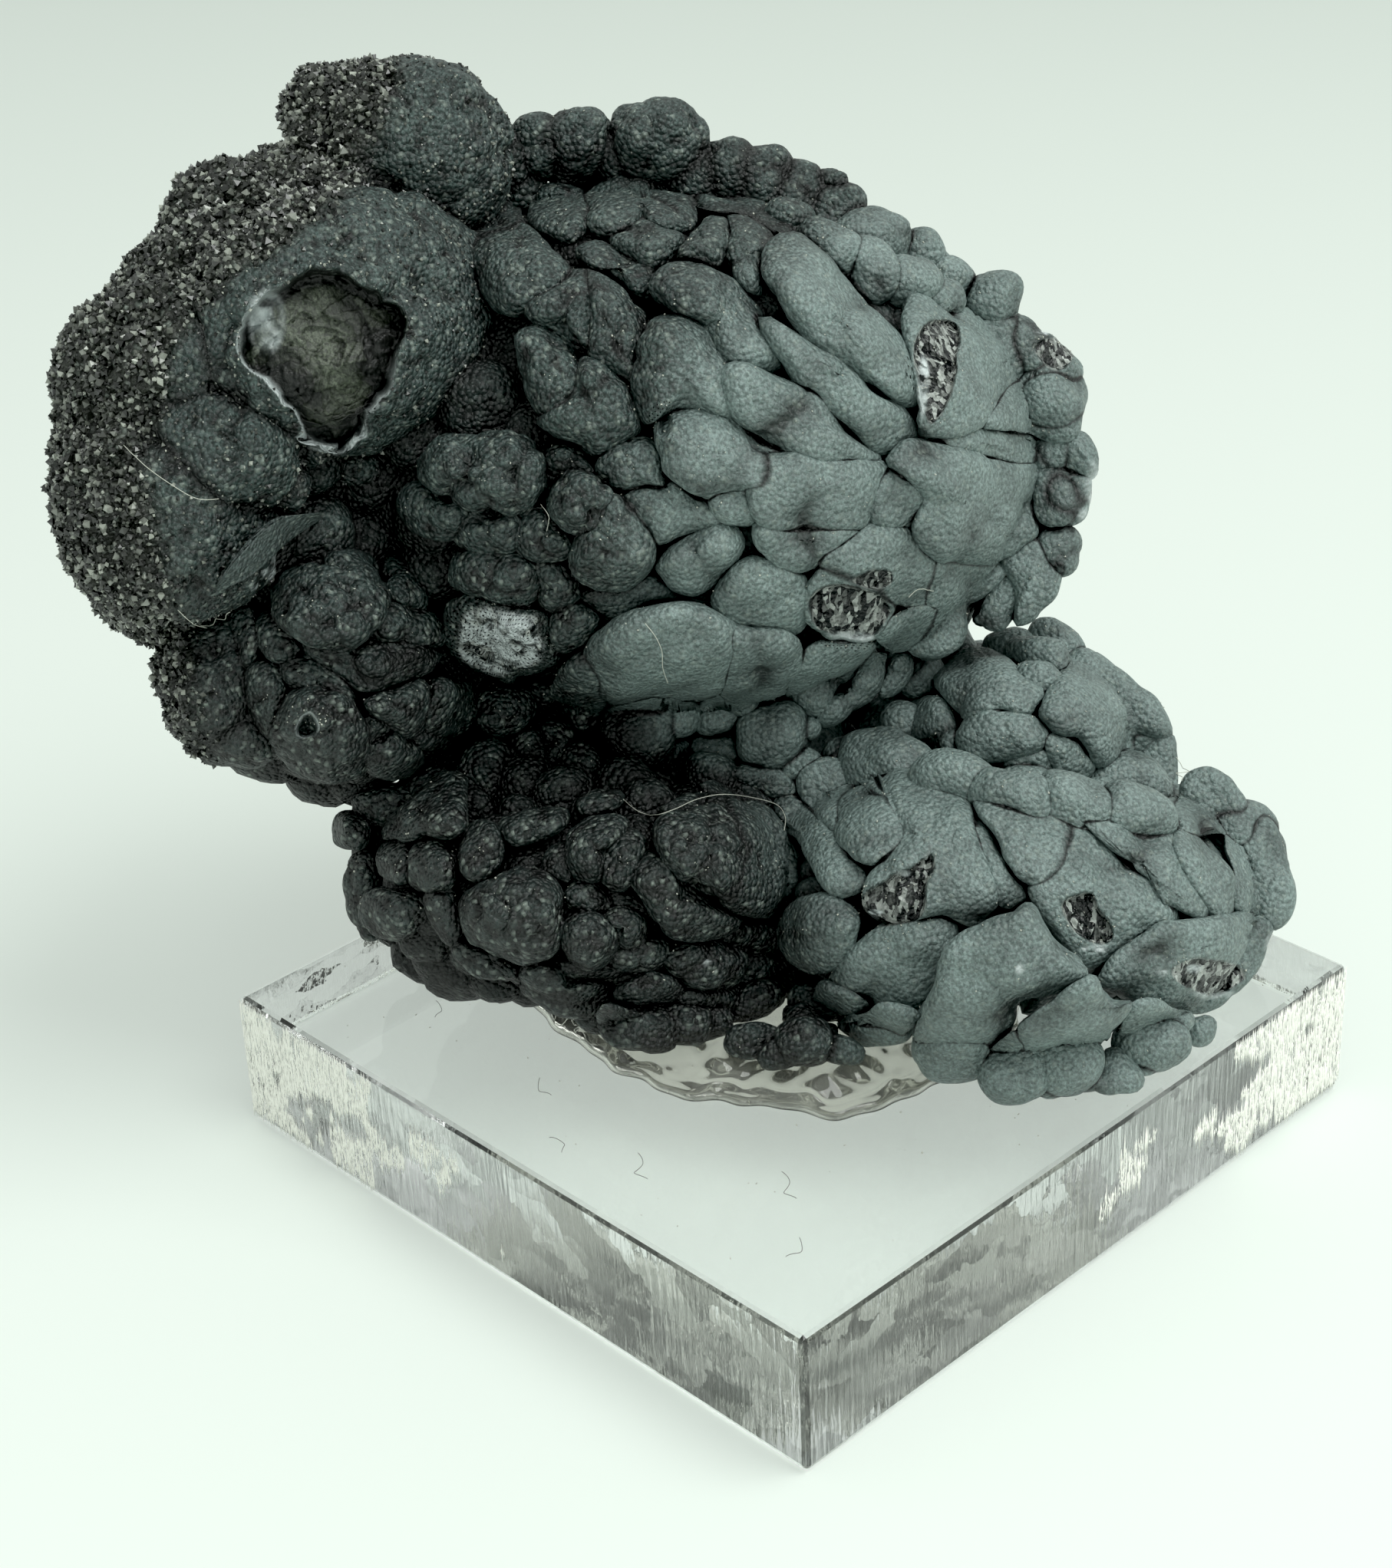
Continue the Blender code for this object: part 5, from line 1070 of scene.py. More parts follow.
def mesh_piece(name, points, faces, attributes=()):
    """An object from points in the object's metres and an array of equal-sided faces, shaded smooth."""
    mesh = bpy.data.meshes.new(name)
    sides = faces.shape[1]
    mesh.vertices.add(len(points))
    mesh.vertices.foreach_set("co", np.ascontiguousarray(points, np.float32).ravel())
    mesh.loops.add(faces.size)
    mesh.loops.foreach_set("vertex_index", np.ascontiguousarray(faces, np.int32).ravel())
    mesh.polygons.add(len(faces))
    mesh.polygons.foreach_set("loop_start", np.arange(0, faces.size, sides, dtype=np.int32))
    mesh.polygons.foreach_set("loop_total", np.full(len(faces), sides, np.int32))
    mesh.update(calc_edges=True)
    mesh.shade_smooth()
    for key, values in dict(attributes).items():
        layer = mesh.attributes.new(key, "FLOAT", "POINT")
        layer.data.foreach_set("value", np.ascontiguousarray(values, np.float32))
    piece = bpy.data.objects.new(name, mesh)
    bpy.context.scene.collection.objects.link(piece)
    return piece


def linear(colour):
    """A hex sRGB colour as the linear numbers that a shader takes."""
    parts = [int(colour[i:i + 2], 16) / 255 for i in (1, 3, 5)]
    return tuple(p / 12.92 if p <= 0.04045 else ((p + 0.055) / 1.055) ** 2.4 for p in parts) + (1,)


def add_node(material, kind, inputs=(), **settings):
    """A shader node with its settings, and its inputs by name or number as values or as links."""
    made = material.node_tree.nodes.new("ShaderNode" + kind)
    for name, value in settings.items():
        setattr(made, name, value)
    for name, value in dict(inputs).items():
        if isinstance(value, bpy.types.NodeSocket):
            material.node_tree.links.new(value, made.inputs[name])
        else:
            made.inputs[name].default_value = value
    return made


def new_material(name, **values):
    """A material whose Principled shader takes the given values, underscores for its spaces."""
    material = bpy.data.materials.new(name)
    material.use_nodes = True
    shader = material.node_tree.nodes["Principled BSDF"]
    for key, value in values.items():
        shader.inputs[key.replace("_", " ")].default_value = value
    return material, shader


# Settings of a node that mixes colours, and the mineral's colours as pairs from dark to light
COLOURS = {"data_type": "RGBA"}
ROUGH_SKIN = ("#192122", "#3d4946")
SMOOTH_SKIN = ("#4f5b59", "#6b7876")
LEACHED_SKIN = ("#9aa3a2", "#dde5e6")
# Fresh fracture: its dark end is the mineral's colour, its light end painted reflection on facets
FRACTURE_AND_REFLECTION = ("#0e1113", "#c3c8c3")
# Crust skin: the mineral's near black, partly painted shade in the gaps between the crystals
CRUST_SKIN_AND_SHADE = "#1d1f1a"
CRATER_TONE = "#3f443a"
# Painted shade in the creases and the gaps between forms
CREVICE_SHADE = "#040505"
# Pale specks on bead tops: partly dust, partly painted glints
GLINT_TONE = "#a4afa6"


def manganese_oxide():
    """Cryptomelane's own skin: a satin slate grey, with painted shade in the creases and between the beads
    and painted light on their tops, darker on the rough lobes, near black in the crust with painted shade
    between its crystals, glassy near black in the fresh chips with painted reflections on some facets, cream
    where leached."""
    material, shader = new_material("manganese_oxide", IOR=1.6)
    link = material.node_tree.links.new
    place = add_node(material, "TexCoord").outputs["Object"]
    tone = {name: add_node(material, "Attribute", attribute_name=name).outputs["Fac"]
            for name in ("clearance", "smooth", "crust", "fresh", "pale", "crater", "tip")}
    patches = add_node(material, "TexNoise", {"Vector": place, "Scale": 190, "Detail": 5}).outputs["Fac"]
    grit = add_node(material, "TexNoise", {"Vector": place, "Scale": 2900, "Detail": 3,
                                           "Roughness": 0.65}).outputs["Fac"]
    rough, smooth, leached = (add_node(material, "Mix", {0: patches, 6: linear(dark), 7: linear(light)},
                                       **COLOURS).outputs[2]
                              for dark, light in (ROUGH_SKIN, SMOOTH_SKIN, LEACHED_SKIN))
    skin_tone = rough
    for share, colour in ((tone["smooth"], smooth), (tone["crust"], linear(CRUST_SKIN_AND_SHADE)),
                          (tone["crater"], linear(CRATER_TONE))):
        skin_tone = add_node(material, "Mix", {0: share, 6: skin_tone, 7: colour}, **COLOURS).outputs[2]
    speckle = add_node(material, "MapRange", {0: grit, 1: 0.40, 2: 0.66, 3: 0.45, 4: 1.9}).outputs[0]
    calm = add_node(material, "MapRange", {0: tone["smooth"], 1: 0.0, 2: 1.0, 3: 1.0, 4: 0.55}).outputs[0]
    # Painted light and shade: the tops of beads and swellings lighter, the low places between them darker
    high = add_node(material, "MapRange", {0: tone["tip"], 1: 0.42, 2: 1.0, 3: 0.05, 4: 1.5}).outputs[0]
    for share, shade in ((calm, speckle), (1.0, high)):
        skin_tone = add_node(material, "Mix", {0: share, 6: skin_tone, 7: shade}, blend_type="MULTIPLY",
                             **COLOURS).outputs[2]
    grains = add_node(material, "TexVoronoi", {"Vector": place, "Scale": 1900})
    rounded = add_node(material, "MapRange", {0: grains.outputs["Distance"], 1: 0.0, 2: 0.9, 3: 1.0,
                                              4: 0.0}).outputs[0]
    lot = add_node(material, "SeparateColor", {0: grains.outputs["Color"]}).outputs[1]
    bright = add_node(material, "MapRange", {0: lot, 1: 0.80, 2: 1.0, 3: 0.0, 4: 0.75}).outputs[0]
    whole = add_node(material, "Math", {0: 1.0, 1: tone["crater"]}, operation="SUBTRACT").outputs[0]
    beading = rounded
    for share in (calm, whole):
        beading = add_node(material, "Math", {0: beading, 1: share}, operation="MULTIPLY").outputs[0]
    # Painted glints, partly pale dust, on the tops of random beads outside the crater
    glint = add_node(material, "Math", {0: beading, 1: bright}, operation="MULTIPLY").outputs[0]
    skin_tone = add_node(material, "Mix", {0: glint, 6: skin_tone, 7: linear(GLINT_TONE)},
                         **COLOURS).outputs[2]
    # Painted shade: the skin darkens to the crevice shade near other forms, over a wider reach on the rough
    # lobes
    reach = add_node(material, "MapRange", {0: tone["smooth"], 1: 0.0, 2: 1.0, 3: 1.35, 4: 0.34}).outputs[0]
    unshaded_part = add_node(material, "MapRange", {0: tone["clearance"], 1: -0.05, 2: reach, 3: 0.0, 4: 1.0},
                         interpolation_type="SMOOTHSTEP").outputs[0]
    fibres = add_node(material, "Mapping", {"Vector": place, "Rotation": (0.4, 0.3, 0.5),
                                            "Scale": (2.2, 2.2, 0.7)}).outputs[0]
    facets = add_node(material, "TexVoronoi", {"Vector": fibres, "Scale": 1000}).outputs["Color"]
    facet_shade = add_node(material, "SeparateColor", {0: facets}).outputs[0]
    # Painted reflection: random facets of the chips turn towards the light colour
    facet_reflection = add_node(material, "MapRange", {0: facet_shade, 1: 0.42, 2: 1.05, 3: 0.0, 4: 1.0}).outputs[0]
    dark, light = (linear(colour) for colour in FRACTURE_AND_REFLECTION)
    fracture = add_node(material, "Mix", {0: facet_reflection, 6: dark, 7: light}, **COLOURS).outputs[2]
    colour = linear(CREVICE_SHADE)
    for share, over in ((unshaded_part, skin_tone), (tone["fresh"], fracture), (tone["pale"], leached)):
        colour = add_node(material, "Mix", {0: share, 6: colour, 7: over}, **COLOURS).outputs[2]
    link(colour, shader.inputs["Base Color"])
    roughness = add_node(material, "MapRange", {0: tone["fresh"], 1: 0.0, 2: 1.0, 3: 0.50, 4: 0.16})
    link(roughness.outputs[0], shader.inputs["Roughness"])
    beaded = add_node(material, "Bump", {"Height": beading, "Distance": 0.00045,
                                         "Strength": 1.0}).outputs["Normal"]
    bump = add_node(material, "Bump", {"Height": grit, "Distance": 0.00018, "Strength": 0.9,
                                       "Normal": beaded})
    link(bump.outputs["Normal"], shader.inputs["Normal"])
    return material


STONE_FINISH = manganese_oxide()
for number, piece_name in enumerate(PIECE_NAMES):
    shown_quads = QUADS[OWNER[QUADS[:, 0]] == number]
    used_points, shown_quads = np.unique(shown_quads, return_inverse=True)
    stone_piece = mesh_piece(piece_name, to_object(POINTS[used_points]) * MM, shown_quads.reshape(-1, 4),
                             {name: values[used_points] for name, values in TONES.items()})
    stone_piece.data.materials.append(STONE_FINISH)
    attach(stone_piece, "root")
    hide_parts("cryptomelane")

# Druse: a crust of small sharp crystals, about 0.7 mm long, that stand at all angles on the left
# domes and catch the light. They grew on the mineral itself; each is a stout double pyramid.
CRYSTALS = 19000
CRYSTAL_LENGTH = (0.23, 0.36)
SPARSE_SHARE = 0.2
LEANING = 0.75
STANDING_OUT = 0.35


def double_pyramids(places, along, beside, third):
    """Points and triangles of double pyramids at those places: two tips at plus and minus the
    first half axis and four corners at the other two."""
    tips = [along, -along, beside, third, -beside, -third]
    points = np.stack([places + tip for tip in tips], axis=1).reshape(-1, 3)
    faces = [(0, 2, 3), (0, 3, 4), (0, 4, 5), (0, 5, 2), (1, 3, 2), (1, 4, 3), (1, 5, 4), (1, 2, 5)]
    return points, (np.arange(len(places))[:, None, None] * 6 + np.array(faces)).reshape(-1, 3)


def crystals():
    """Points, triangles and shade of crystals on random spots of the crust, sunk partly in; the rare pale
    shades are painted glints.
    """
    rng = np.random.default_rng(41)
    corners = POINTS[QUADS]
    facing = np.cross(corners[:, 2] - corners[:, 0], corners[:, 3] - corners[:, 1])
    in_view = (OWNER[QUADS[:, 0]] < len(COVERINGS)) | (unit(facing)[:, 2] > -0.2)
    crust = TONES["crust"][QUADS].mean(axis=1) * in_view
    open_air = (CLEARANCE[QUADS].mean(axis=1) > -0.3) & (TONES["crater"][QUADS[:, 0]] < 0.2)
    weight = np.linalg.norm(facing, axis=1) * open_air
    weight *= np.maximum(crust, SPARSE_SHARE * (OWNER[QUADS[:, 0]] == PIECE_NAMES.index("left_domes")))
    picked = rng.choice(len(QUADS), CRYSTALS, p=weight / weight.sum())
    s, t = rng.random((2, CRYSTALS, 1))
    quad = corners[picked]
    foot = (1 - s) * ((1 - t) * quad[:, 0] + t * quad[:, 3]) + s * ((1 - t) * quad[:, 1] + t * quad[:, 2])
    axis = unit(unit(facing[picked]) + LEANING * rng.normal(size=(CRYSTALS, 3)))
    beside = unit(np.cross(axis, rng.normal(size=(CRYSTALS, 3))))
    third = np.cross(axis, beside)
    length = CRYSTAL_LENGTH[0] + CRYSTAL_LENGTH[1] * rng.random((CRYSTALS, 1)) ** 2
    length *= 0.55 + 0.45 * crust[picked][:, None]
    width = length * (0.6 + 0.35 * rng.random((CRYSTALS, 1)))
    middle = foot + axis * length * STANDING_OUT
    # Random tone per crystal; the rare pale ones stand in as painted glints
    shade = np.repeat(rng.random(CRYSTALS) ** 3.5, 6)
    return *double_pyramids(middle, axis * length, beside * width, third * width), shade


def crystal_crust():
    """Crystal faces: near black to grey, the rare pale ones painted glints, sharp-edged and glossy, so each
    also glints on its own.
    """
    material, shader = new_material("manganese_crystals", Roughness=0.3, IOR=1.7)
    shade = add_node(material, "Attribute", attribute_name="shade").outputs["Fac"]
    colour = add_node(material, "Mix", {0: shade, 6: linear("#121311"), 7: linear("#a9ada3")}, **COLOURS)
    material.node_tree.links.new(colour.outputs[2], shader.inputs["Base Color"])
    return material


crystal_points, crystal_faces, crystal_tone_and_glint = crystals()
druse = mesh_piece("druse", to_object(crystal_points) * MM, crystal_faces, {"shade": crystal_tone_and_glint})
druse.data.shade_flat()
druse.data.materials.append(crystal_crust())
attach(druse, "root")
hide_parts("cryptomelane")


# Flap: a layered plate broken loose above the cheek, its thin edges standing out to the left.
# Three sheets, each a slim ribbon that widens in the middle and lies over the one below.
FLAP_TOP = [
    (-46.6, 19.6), (-44.3, 22.5), (-41.8, 24.9), (-39.6, 26.2), (-36.6, 26.3),
]
FLAP_FOOT = [
    (-45.9, 18), (-43.7, 19.4), (-41.8, 21), (-39.6, 22.9), (-36.1, 25),
]
# Each sheet's lift to the viewer, shift across the flap and share of the flap's width
FLAP_SHEETS = [(0.9, 0.0, 1.0), (2.0, 0.5, 0.8), (3.0, 1.0, 0.55)]
FLAP_THICKNESS = 0.18
FLAP_STEPS = 60
FLAP_SIDES = 20


def on_skin(across, up):
    """The skin's nearest points to the viewer on lines of sight through (across, up)."""
    plane = in_plane(POINTS).T
    spots = []
    for u, v in zip(across, up):
        beside = np.flatnonzero(np.abs(plane - (u, v)).max(axis=1) < 0.4)
        depth = sighted("crown", np.array([u]), np.array([v]))[0, 2]
        if len(beside):
            depth = POINTS[beside, 2].max()
        spots.append((u * (1 - depth / PLANE_DISTANCE), v * (1 - depth / PLANE_DISTANCE), depth))
    return np.array(spots)


def along(values, count):
    """Evenly spaced values on smooth curves through the given rows."""
    rows = np.array(values, float)
    place = np.linspace(0, len(rows) - 1, count)
    low = np.minimum(place.astype(int), len(rows) - 2)
    before, after = rows[np.maximum(low - 1, 0)], rows[np.minimum(low + 2, len(rows) - 1)]
    return curved(before, rows[low], rows[low + 1], after, (place - low)[:, None])


def closed_tube(rings):
    """Points and quads of a tube through rings of points, closed by drawing in its end rings."""
    count, sides = rings.shape[:2]
    rings = np.concatenate([rings[:1] * 0.001 + rings[:1].mean(axis=1, keepdims=True) * 0.999, rings,
                            rings[-1:] * 0.001 + rings[-1:].mean(axis=1, keepdims=True) * 0.999])
    step, side = np.meshgrid(np.arange(count + 1), np.arange(sides), indexing="ij")
    beyond = (side + 1) % sides
    quads = np.stack([step * sides + side, step * sides + beyond, (step + 1) * sides + beyond,
                      (step + 1) * sides + side], axis=-1)
    return rings.reshape(-1, 3), quads.reshape(-1, 4)


def joined(parts):
    """Several pairs of points and faces as one pair."""
    made, points, faces = 0, [], []
    for spots, cells in parts:
        points.append(spots)
        faces.append(cells + made)
        made += len(spots)
    return np.concatenate(points), np.concatenate(faces)


def smoothed(values, reach):
    """Running mean of a row of values over that many neighbours on each side."""
    width = 2 * reach + 1
    return np.convolve(np.pad(values, reach, mode="edge"), np.ones(width) / width, mode="valid")


def flap_sheet(lift, shift, share):
    """A ribbon between the flap's two edges with a flat oval section, its upper edge bent outward,
    resting on the skin behind it."""
    top, foot = along(FLAP_TOP, FLAP_STEPS), along(FLAP_FOOT, FLAP_STEPS)
    line = np.linspace(0, 1, FLAP_STEPS)
    middle = (top + foot) / 2 + np.array([0.2, 0.5]) * shift
    half = (top - foot) / 2 * (share * np.sqrt(np.sin(math.pi * np.clip(line, 0.02, 0.98))))[:, None]
    angle = np.linspace(0, 2 * math.pi, FLAP_SIDES, endpoint=False)
    plane = middle[:, None] + half[:, None] * np.cos(angle)[None, :, None]
    rest = smoothed(on_skin(*middle.T)[:, 2], 9)
    spots = np.concatenate([plane, np.broadcast_to(rest[:, None, None], (*plane.shape[:2], 1))], axis=-1)
    rough = waves(spots.reshape(-1, 3), 1.3, 21).reshape(plane.shape[:2])
    spots[..., 2] += lift + 1.1 * np.cos(angle) + FLAP_THICKNESS * np.sin(angle) + 0.6 * rough
    spots[..., :2] *= 1 - spots[..., 2:] / PLANE_DISTANCE
    return closed_tube(spots)


flap_points, flap_faces = joined([flap_sheet(*row) for row in FLAP_SHEETS])
# The flap counts as open and near a top, so it takes almost no painted shade
flap = mesh_piece("flap", to_object(flap_points) * MM, flap_faces,
                  {name: np.full(len(flap_points), share) for name, share in
                   (("clearance", 1.0), ("smooth", 0.3), ("pale", 0.05), ("tip", 0.8))})
flap.data.materials.append(STONE_FINISH)
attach(flap, "root")
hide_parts("cryptomelane")

# Lint: pale threads and dust caught on the rough mineral, and a few hairs on the block's top.
# It lies loose on the surface. Threads are thin round tubes, dust is small flat flecks.
BLOCK_TOP = 15
BLOCK_HALF = 40
THREADS = [
    [(-7, -1.5), (-5.6, -2.6), (-4, -3), (-2, -2.4), (0, -1.5), (2.5, -1), (5.4, -1.3), (7.8, -2),
     (8.6, -3.2), (8.5, -4.5)],
    [(-55.5, 33), (-53, 30.6), (-50, 28.5), (-48, 27.5), (-46, 27.5)],
    [(-50, 16.8), (-48.4, 15.4), (-46.8, 15.3), (-45, 16.6)],
    [(-4.9, 15.5), (-3.9, 14.2), (-3.3, 12.8), (-3.2, 11.2), (-2.7, 9.7)],
    [(46.3, 2.6), (46.9, 1.6), (46.9, 0.3)],
    [(-15, 27), (-14.2, 25.8), (-14.4, 24.4)],
    [(20.5, 18), (21.5, 18.8), (22.9, 18.6)],
]
BLOCK_HAIRS = [
    [(10, -31), (11.5, -31.8), (12, -33.4), (13.6, -33.2)],
    [(30, -30), (31.4, -31.2), (31, -32.8)],
    [(-6, -29), (-4.6, -30.4), (-3, -30.2)],
    [(22, -24), (23.6, -24.6), (24.4, -26.2), (25.8, -26)],
    [(-24, -27), (-22.4, -27.6), (-21.8, -29)],
    [(2, -35), (3.6, -34.6), (4.6, -35.8)],
]
THREAD_RADIUS = 0.035
THREAD_LIFT = 0.25
STEPS_PER_POINT = 8
DUST_ON_STONE = 2400
DUST_ON_BLOCK = 420
FLECK_SIZE = (0.05, 0.12)
DUST_LIFT = 0.04


def thread(route, radius):
    """A five-sided tube of that radius along a route of points."""
    heading = unit(np.gradient(route, axis=0))
    beside = unit(np.cross(heading, [0.31, 0.52, 0.79]))
    third = np.cross(heading, beside)
    angle = np.arange(5) * 2 * math.pi / 5
    section = np.cos(angle)[:, None, None] * beside + np.sin(angle)[:, None, None] * third
    return closed_tube((route + radius * section).transpose(1, 0, 2))


def flecks(spots, rng):
    """Squashed double pyramids of random size and turn at the given points."""
    count = len(spots)
    first = unit(rng.normal(size=(count, 3)))
    second = unit(np.cross(first, rng.normal(size=(count, 3))))
    third = np.cross(first, second)
    size = FLECK_SIZE[0] + FLECK_SIZE[1] * rng.random((count, 1)) ** 3
    return double_pyramids(spots, first * size * 0.4, second * size, third * size * 0.7)


def stone_threads():
    """Threads that lie on the mineral's skin."""
    routes = []
    for points in THREADS:
        plane = along(points, STEPS_PER_POINT * len(points))
        spots = on_skin(*plane.T)
        spots[:, 2] = smoothed(spots[:, 2], 3) + THREAD_LIFT
        routes.append(thread(to_object(spots), THREAD_RADIUS))
    return joined(routes)


def block_hairs():
    """Hairs that lie on the block's top, slightly arched."""
    routes = []
    for points in BLOCK_HAIRS:
        plane = along(points, STEPS_PER_POINT * len(points))
        height = BLOCK_TOP + 0.15 + 0.12 * np.sin(np.linspace(0, 3 * math.pi, len(plane)))
        routes.append(thread(np.column_stack([plane, height]), THREAD_RADIUS * 0.8))
    return joined(routes)


def dust():
    """Flecks on open, upward skin of the mineral and over the block's top."""
    rng = np.random.default_rng(12)
    upward = NORMALS @ VIEW[2]
    open_air = np.flatnonzero((CLEARANCE > 0.1) & (OWNER < len(COVERINGS)) & (upward > 0.1)
                              & (TONES["crater"] < 0.2))
    chosen = rng.choice(open_air, DUST_ON_STONE)
    on_stone = to_object(POINTS[chosen] + NORMALS[chosen] * DUST_LIFT)
    place = rng.uniform(1 - BLOCK_HALF, BLOCK_HALF - 1, (DUST_ON_BLOCK, 2))
    on_block = np.column_stack([place, np.full(DUST_ON_BLOCK, BLOCK_TOP + DUST_LIFT)])
    return flecks(np.concatenate([on_stone, on_block]), rng)


# Cotton lint is matt and pale grey, a hair is smoother and brown-grey
lint_finish = new_material("lint", Base_Color=linear("#c9cabf"), Roughness=0.9)[0]
hair_finish = new_material("hair", Base_Color=linear("#4c4a42"), Roughness=0.7)[0]
for lint_name, (lint_points, lint_faces), finish in (
        ("threads", stone_threads(), lint_finish), ("block_hairs", block_hairs(), hair_finish),
        ("dust", dust(), lint_finish)):
    lint = mesh_piece(lint_name, lint_points * MM, lint_faces)
    lint.data.materials.append(finish)
    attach(lint, "root")

# Adhesive: a clear puddle that was pressed out under the mineral and set, with flow ripples and a
# thicker scalloped rim. It lies on the block and bonds the mineral to it.
GEL_MIDDLE = (2, -2)
GEL_RIM = [
    (-18, -20), (-15, -21.4), (-10.4, -22.1), (-2, -23), (4.7, -22.3), (8, -21.3), (12, -18.4), (16.7, -16),
    (20.3, -14.1), (21.8, -11.4), (22.4, -7.6), (23.7, -3.2), (24, 1.1), (22, 10), (13, 18), (0, 21.5),
    (-13, 19.5), (-21.5, 10), (-23.8, -6), (-21.5, -15),
]
GEL_SINK = 0.05
GEL_EDGE_HEIGHT = 0.9
GEL_RISE = 2.5
GEL_AROUND = 420
GEL_RINGS = 60


def gel_puddle():
    """Top and underside of the puddle, a function of the direction round its middle and of the
    way out to the rim: a level top with ripples, a raised bead near the rim, a round edge and a
    flat bottom sunk slightly into the block."""
    curve = along(GEL_RIM + GEL_RIM[:1], 400) - GEL_MIDDLE
    heading = np.arctan2(curve[:, 1], curve[:, 0]) % (2 * math.pi)
    angle = np.arange(GEL_AROUND) * 2 * math.pi / GEL_AROUND
    order = np.argsort(heading)
    rim = np.interp(angle, heading[order], np.hypot(*curve[order].T), period=2 * math.pi)
    rim = rim + 0.25 * np.sin(17 * angle) + 0.18 * np.sin(29 * angle + 1)
    out = np.linspace(0.04, 1, GEL_RINGS) ** 0.7
    over = np.concatenate([out, 1 - 0.012 * np.arange(1, 5) ** 1.2, [0.5, 0.04]])
    edge = np.sqrt(np.clip(1 - np.clip((out - 0.955) / 0.045, 0, 1) ** 2, 0, 1))
    swell = GEL_EDGE_HEIGHT + (GEL_RISE - GEL_EDGE_HEIGHT) * ramp(-out, -0.96, -0.55)
    heights = np.concatenate([swell * edge, -GEL_SINK * np.ones(6)])
    heights[GEL_RINGS:GEL_RINGS + 2] = (-0.5 * GEL_SINK, -0.8 * GEL_SINK)
    plane = over[:, None, None] * (rim[:, None] * np.stack([np.cos(angle), np.sin(angle)], axis=1))
    flat = plane.reshape(-1, 2) + GEL_MIDDLE
    spots = np.column_stack([flat, np.repeat(heights, GEL_AROUND)])
    stirred = flat + 1.2 * np.stack([waves(spots, 5, 31), waves(spots, 5, 32)], axis=1)
    turned = np.column_stack([stirred, spots[:, 2] * 0])
    ripple = 0.55 * waves(turned, 3.2, 33) + 0.3 * waves(turned, 1.5, 34)
    top_only = np.zeros(6)
    free = np.repeat(np.concatenate([ramp(-out, -0.995, -0.93), top_only]), GEL_AROUND)
    bead = 0.45 * np.exp(-((out - 0.93) / 0.025) ** 2)
    spots[:, 2] += BLOCK_TOP + free * ripple + np.repeat(np.concatenate([bead, top_only]), GEL_AROUND)
    return closed_tube(spots.reshape(-1, GEL_AROUND, 3)[::-1])


gel_points, gel_faces = gel_puddle()
gel = mesh_piece("gel", gel_points * MM, gel_faces)
# Set clear adhesive: glassy, with a hint of yellow and of milkiness
clear_adhesive = new_material("clear_adhesive", Base_Color=linear("#f7f6ee"), Transmission_Weight=0.93,
                              IOR=1.47, Roughness=0.03)[0]
gel.data.materials.append(clear_adhesive)
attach(gel, "root")
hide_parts("adhesive")


# Acrylic block: clear cast acrylic, its top polished and its sides left from the saw, so they
# carry fine upright streaks. The CAD block itself is shown, with this material.
def clear_acrylic():
    """Clear acrylic: sharp on top, hazy and streaked in patches on the sawn sides."""
    material, shader = new_material("clear_acrylic", Base_Color=linear("#fbfdfc"), Transmission_Weight=1.0,
                                    IOR=1.49)
    link = material.node_tree.links.new
    place = add_node(material, "TexCoord").outputs["Object"]
    facing = add_node(material, "NewGeometry").outputs["Normal"]
    up = add_node(material, "SeparateXYZ", {0: facing}).outputs[2]
    steep = add_node(material, "Math", {0: up}, operation="ABSOLUTE").outputs[0]
    side = add_node(material, "MapRange", {0: steep, 1: 0.5, 2: 0.2, 3: 0.0, 4: 1.0}).outputs[0]
    stretched = add_node(material, "Mapping", {"Vector": place, "Scale": (1, 1, 0.12)}).outputs[0]
    streaks = add_node(material, "TexNoise", {"Vector": stretched, "Scale": 1500, "Detail": 3}).outputs["Fac"]
    hazy = add_node(material, "TexNoise", {"Vector": place, "Scale": 90, "Detail": 4}).outputs["Fac"]
    haze = add_node(material, "MapRange", {0: hazy, 1: 0.45, 2: 0.62, 3: 0.0, 4: 0.22}).outputs[0]
    roughness = add_node(material, "Math", {0: haze, 1: side}, operation="MULTIPLY")
    link(roughness.outputs[0], shader.inputs["Roughness"])
    stir = add_node(material, "TexNoise", {"Vector": place, "Scale": 260, "Detail": 4}).outputs["Color"]
    stirred = add_node(material, "VectorMath", {0: stir, 1: (0.007, 0.007, 0.007), 2: place},
                       operation="MULTIPLY_ADD").outputs[0]
    squat = add_node(material, "Mapping", {"Vector": stirred, "Scale": (1, 1, 1.6)}).outputs[0]
    patches = add_node(material, "TexVoronoi", {"Vector": squat, "Scale": 210}).outputs["Color"]
    lean = add_node(material, "VectorMath", {0: patches, 1: (0.5, 0.5, 0.5)}, operation="SUBTRACT").outputs[0]
    tilted = add_node(material, "VectorMath", {0: lean, 1: place}, operation="DOT_PRODUCT").outputs["Value"]
    facets = add_node(material, "Bump", {"Height": tilted, "Distance": 0.17,
                                         "Strength": side}).outputs["Normal"]
    bump = add_node(material, "Bump", {"Height": streaks, "Distance": 0.00016, "Strength": side,
                                       "Normal": facets})
    link(bump.outputs["Normal"], shader.inputs["Normal"])
    return material


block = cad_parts["acrylic_base"]
block.data.materials.clear()
block.data.materials.append(clear_acrylic())

# Saw marks: upright scratches on the block's two front sides, white as painted light, crowded towards their
# far ends, where light comes through. They are in the acrylic; each is a slim flat double pyramid.
SCRATCHES = 8000
SCRATCH_WIDTH = (0.04, 0.10)
SCRATCH_HEIGHT = (0.3, 1.9)
SCRATCH_DEPTH = 0.02
TRIES = 60000


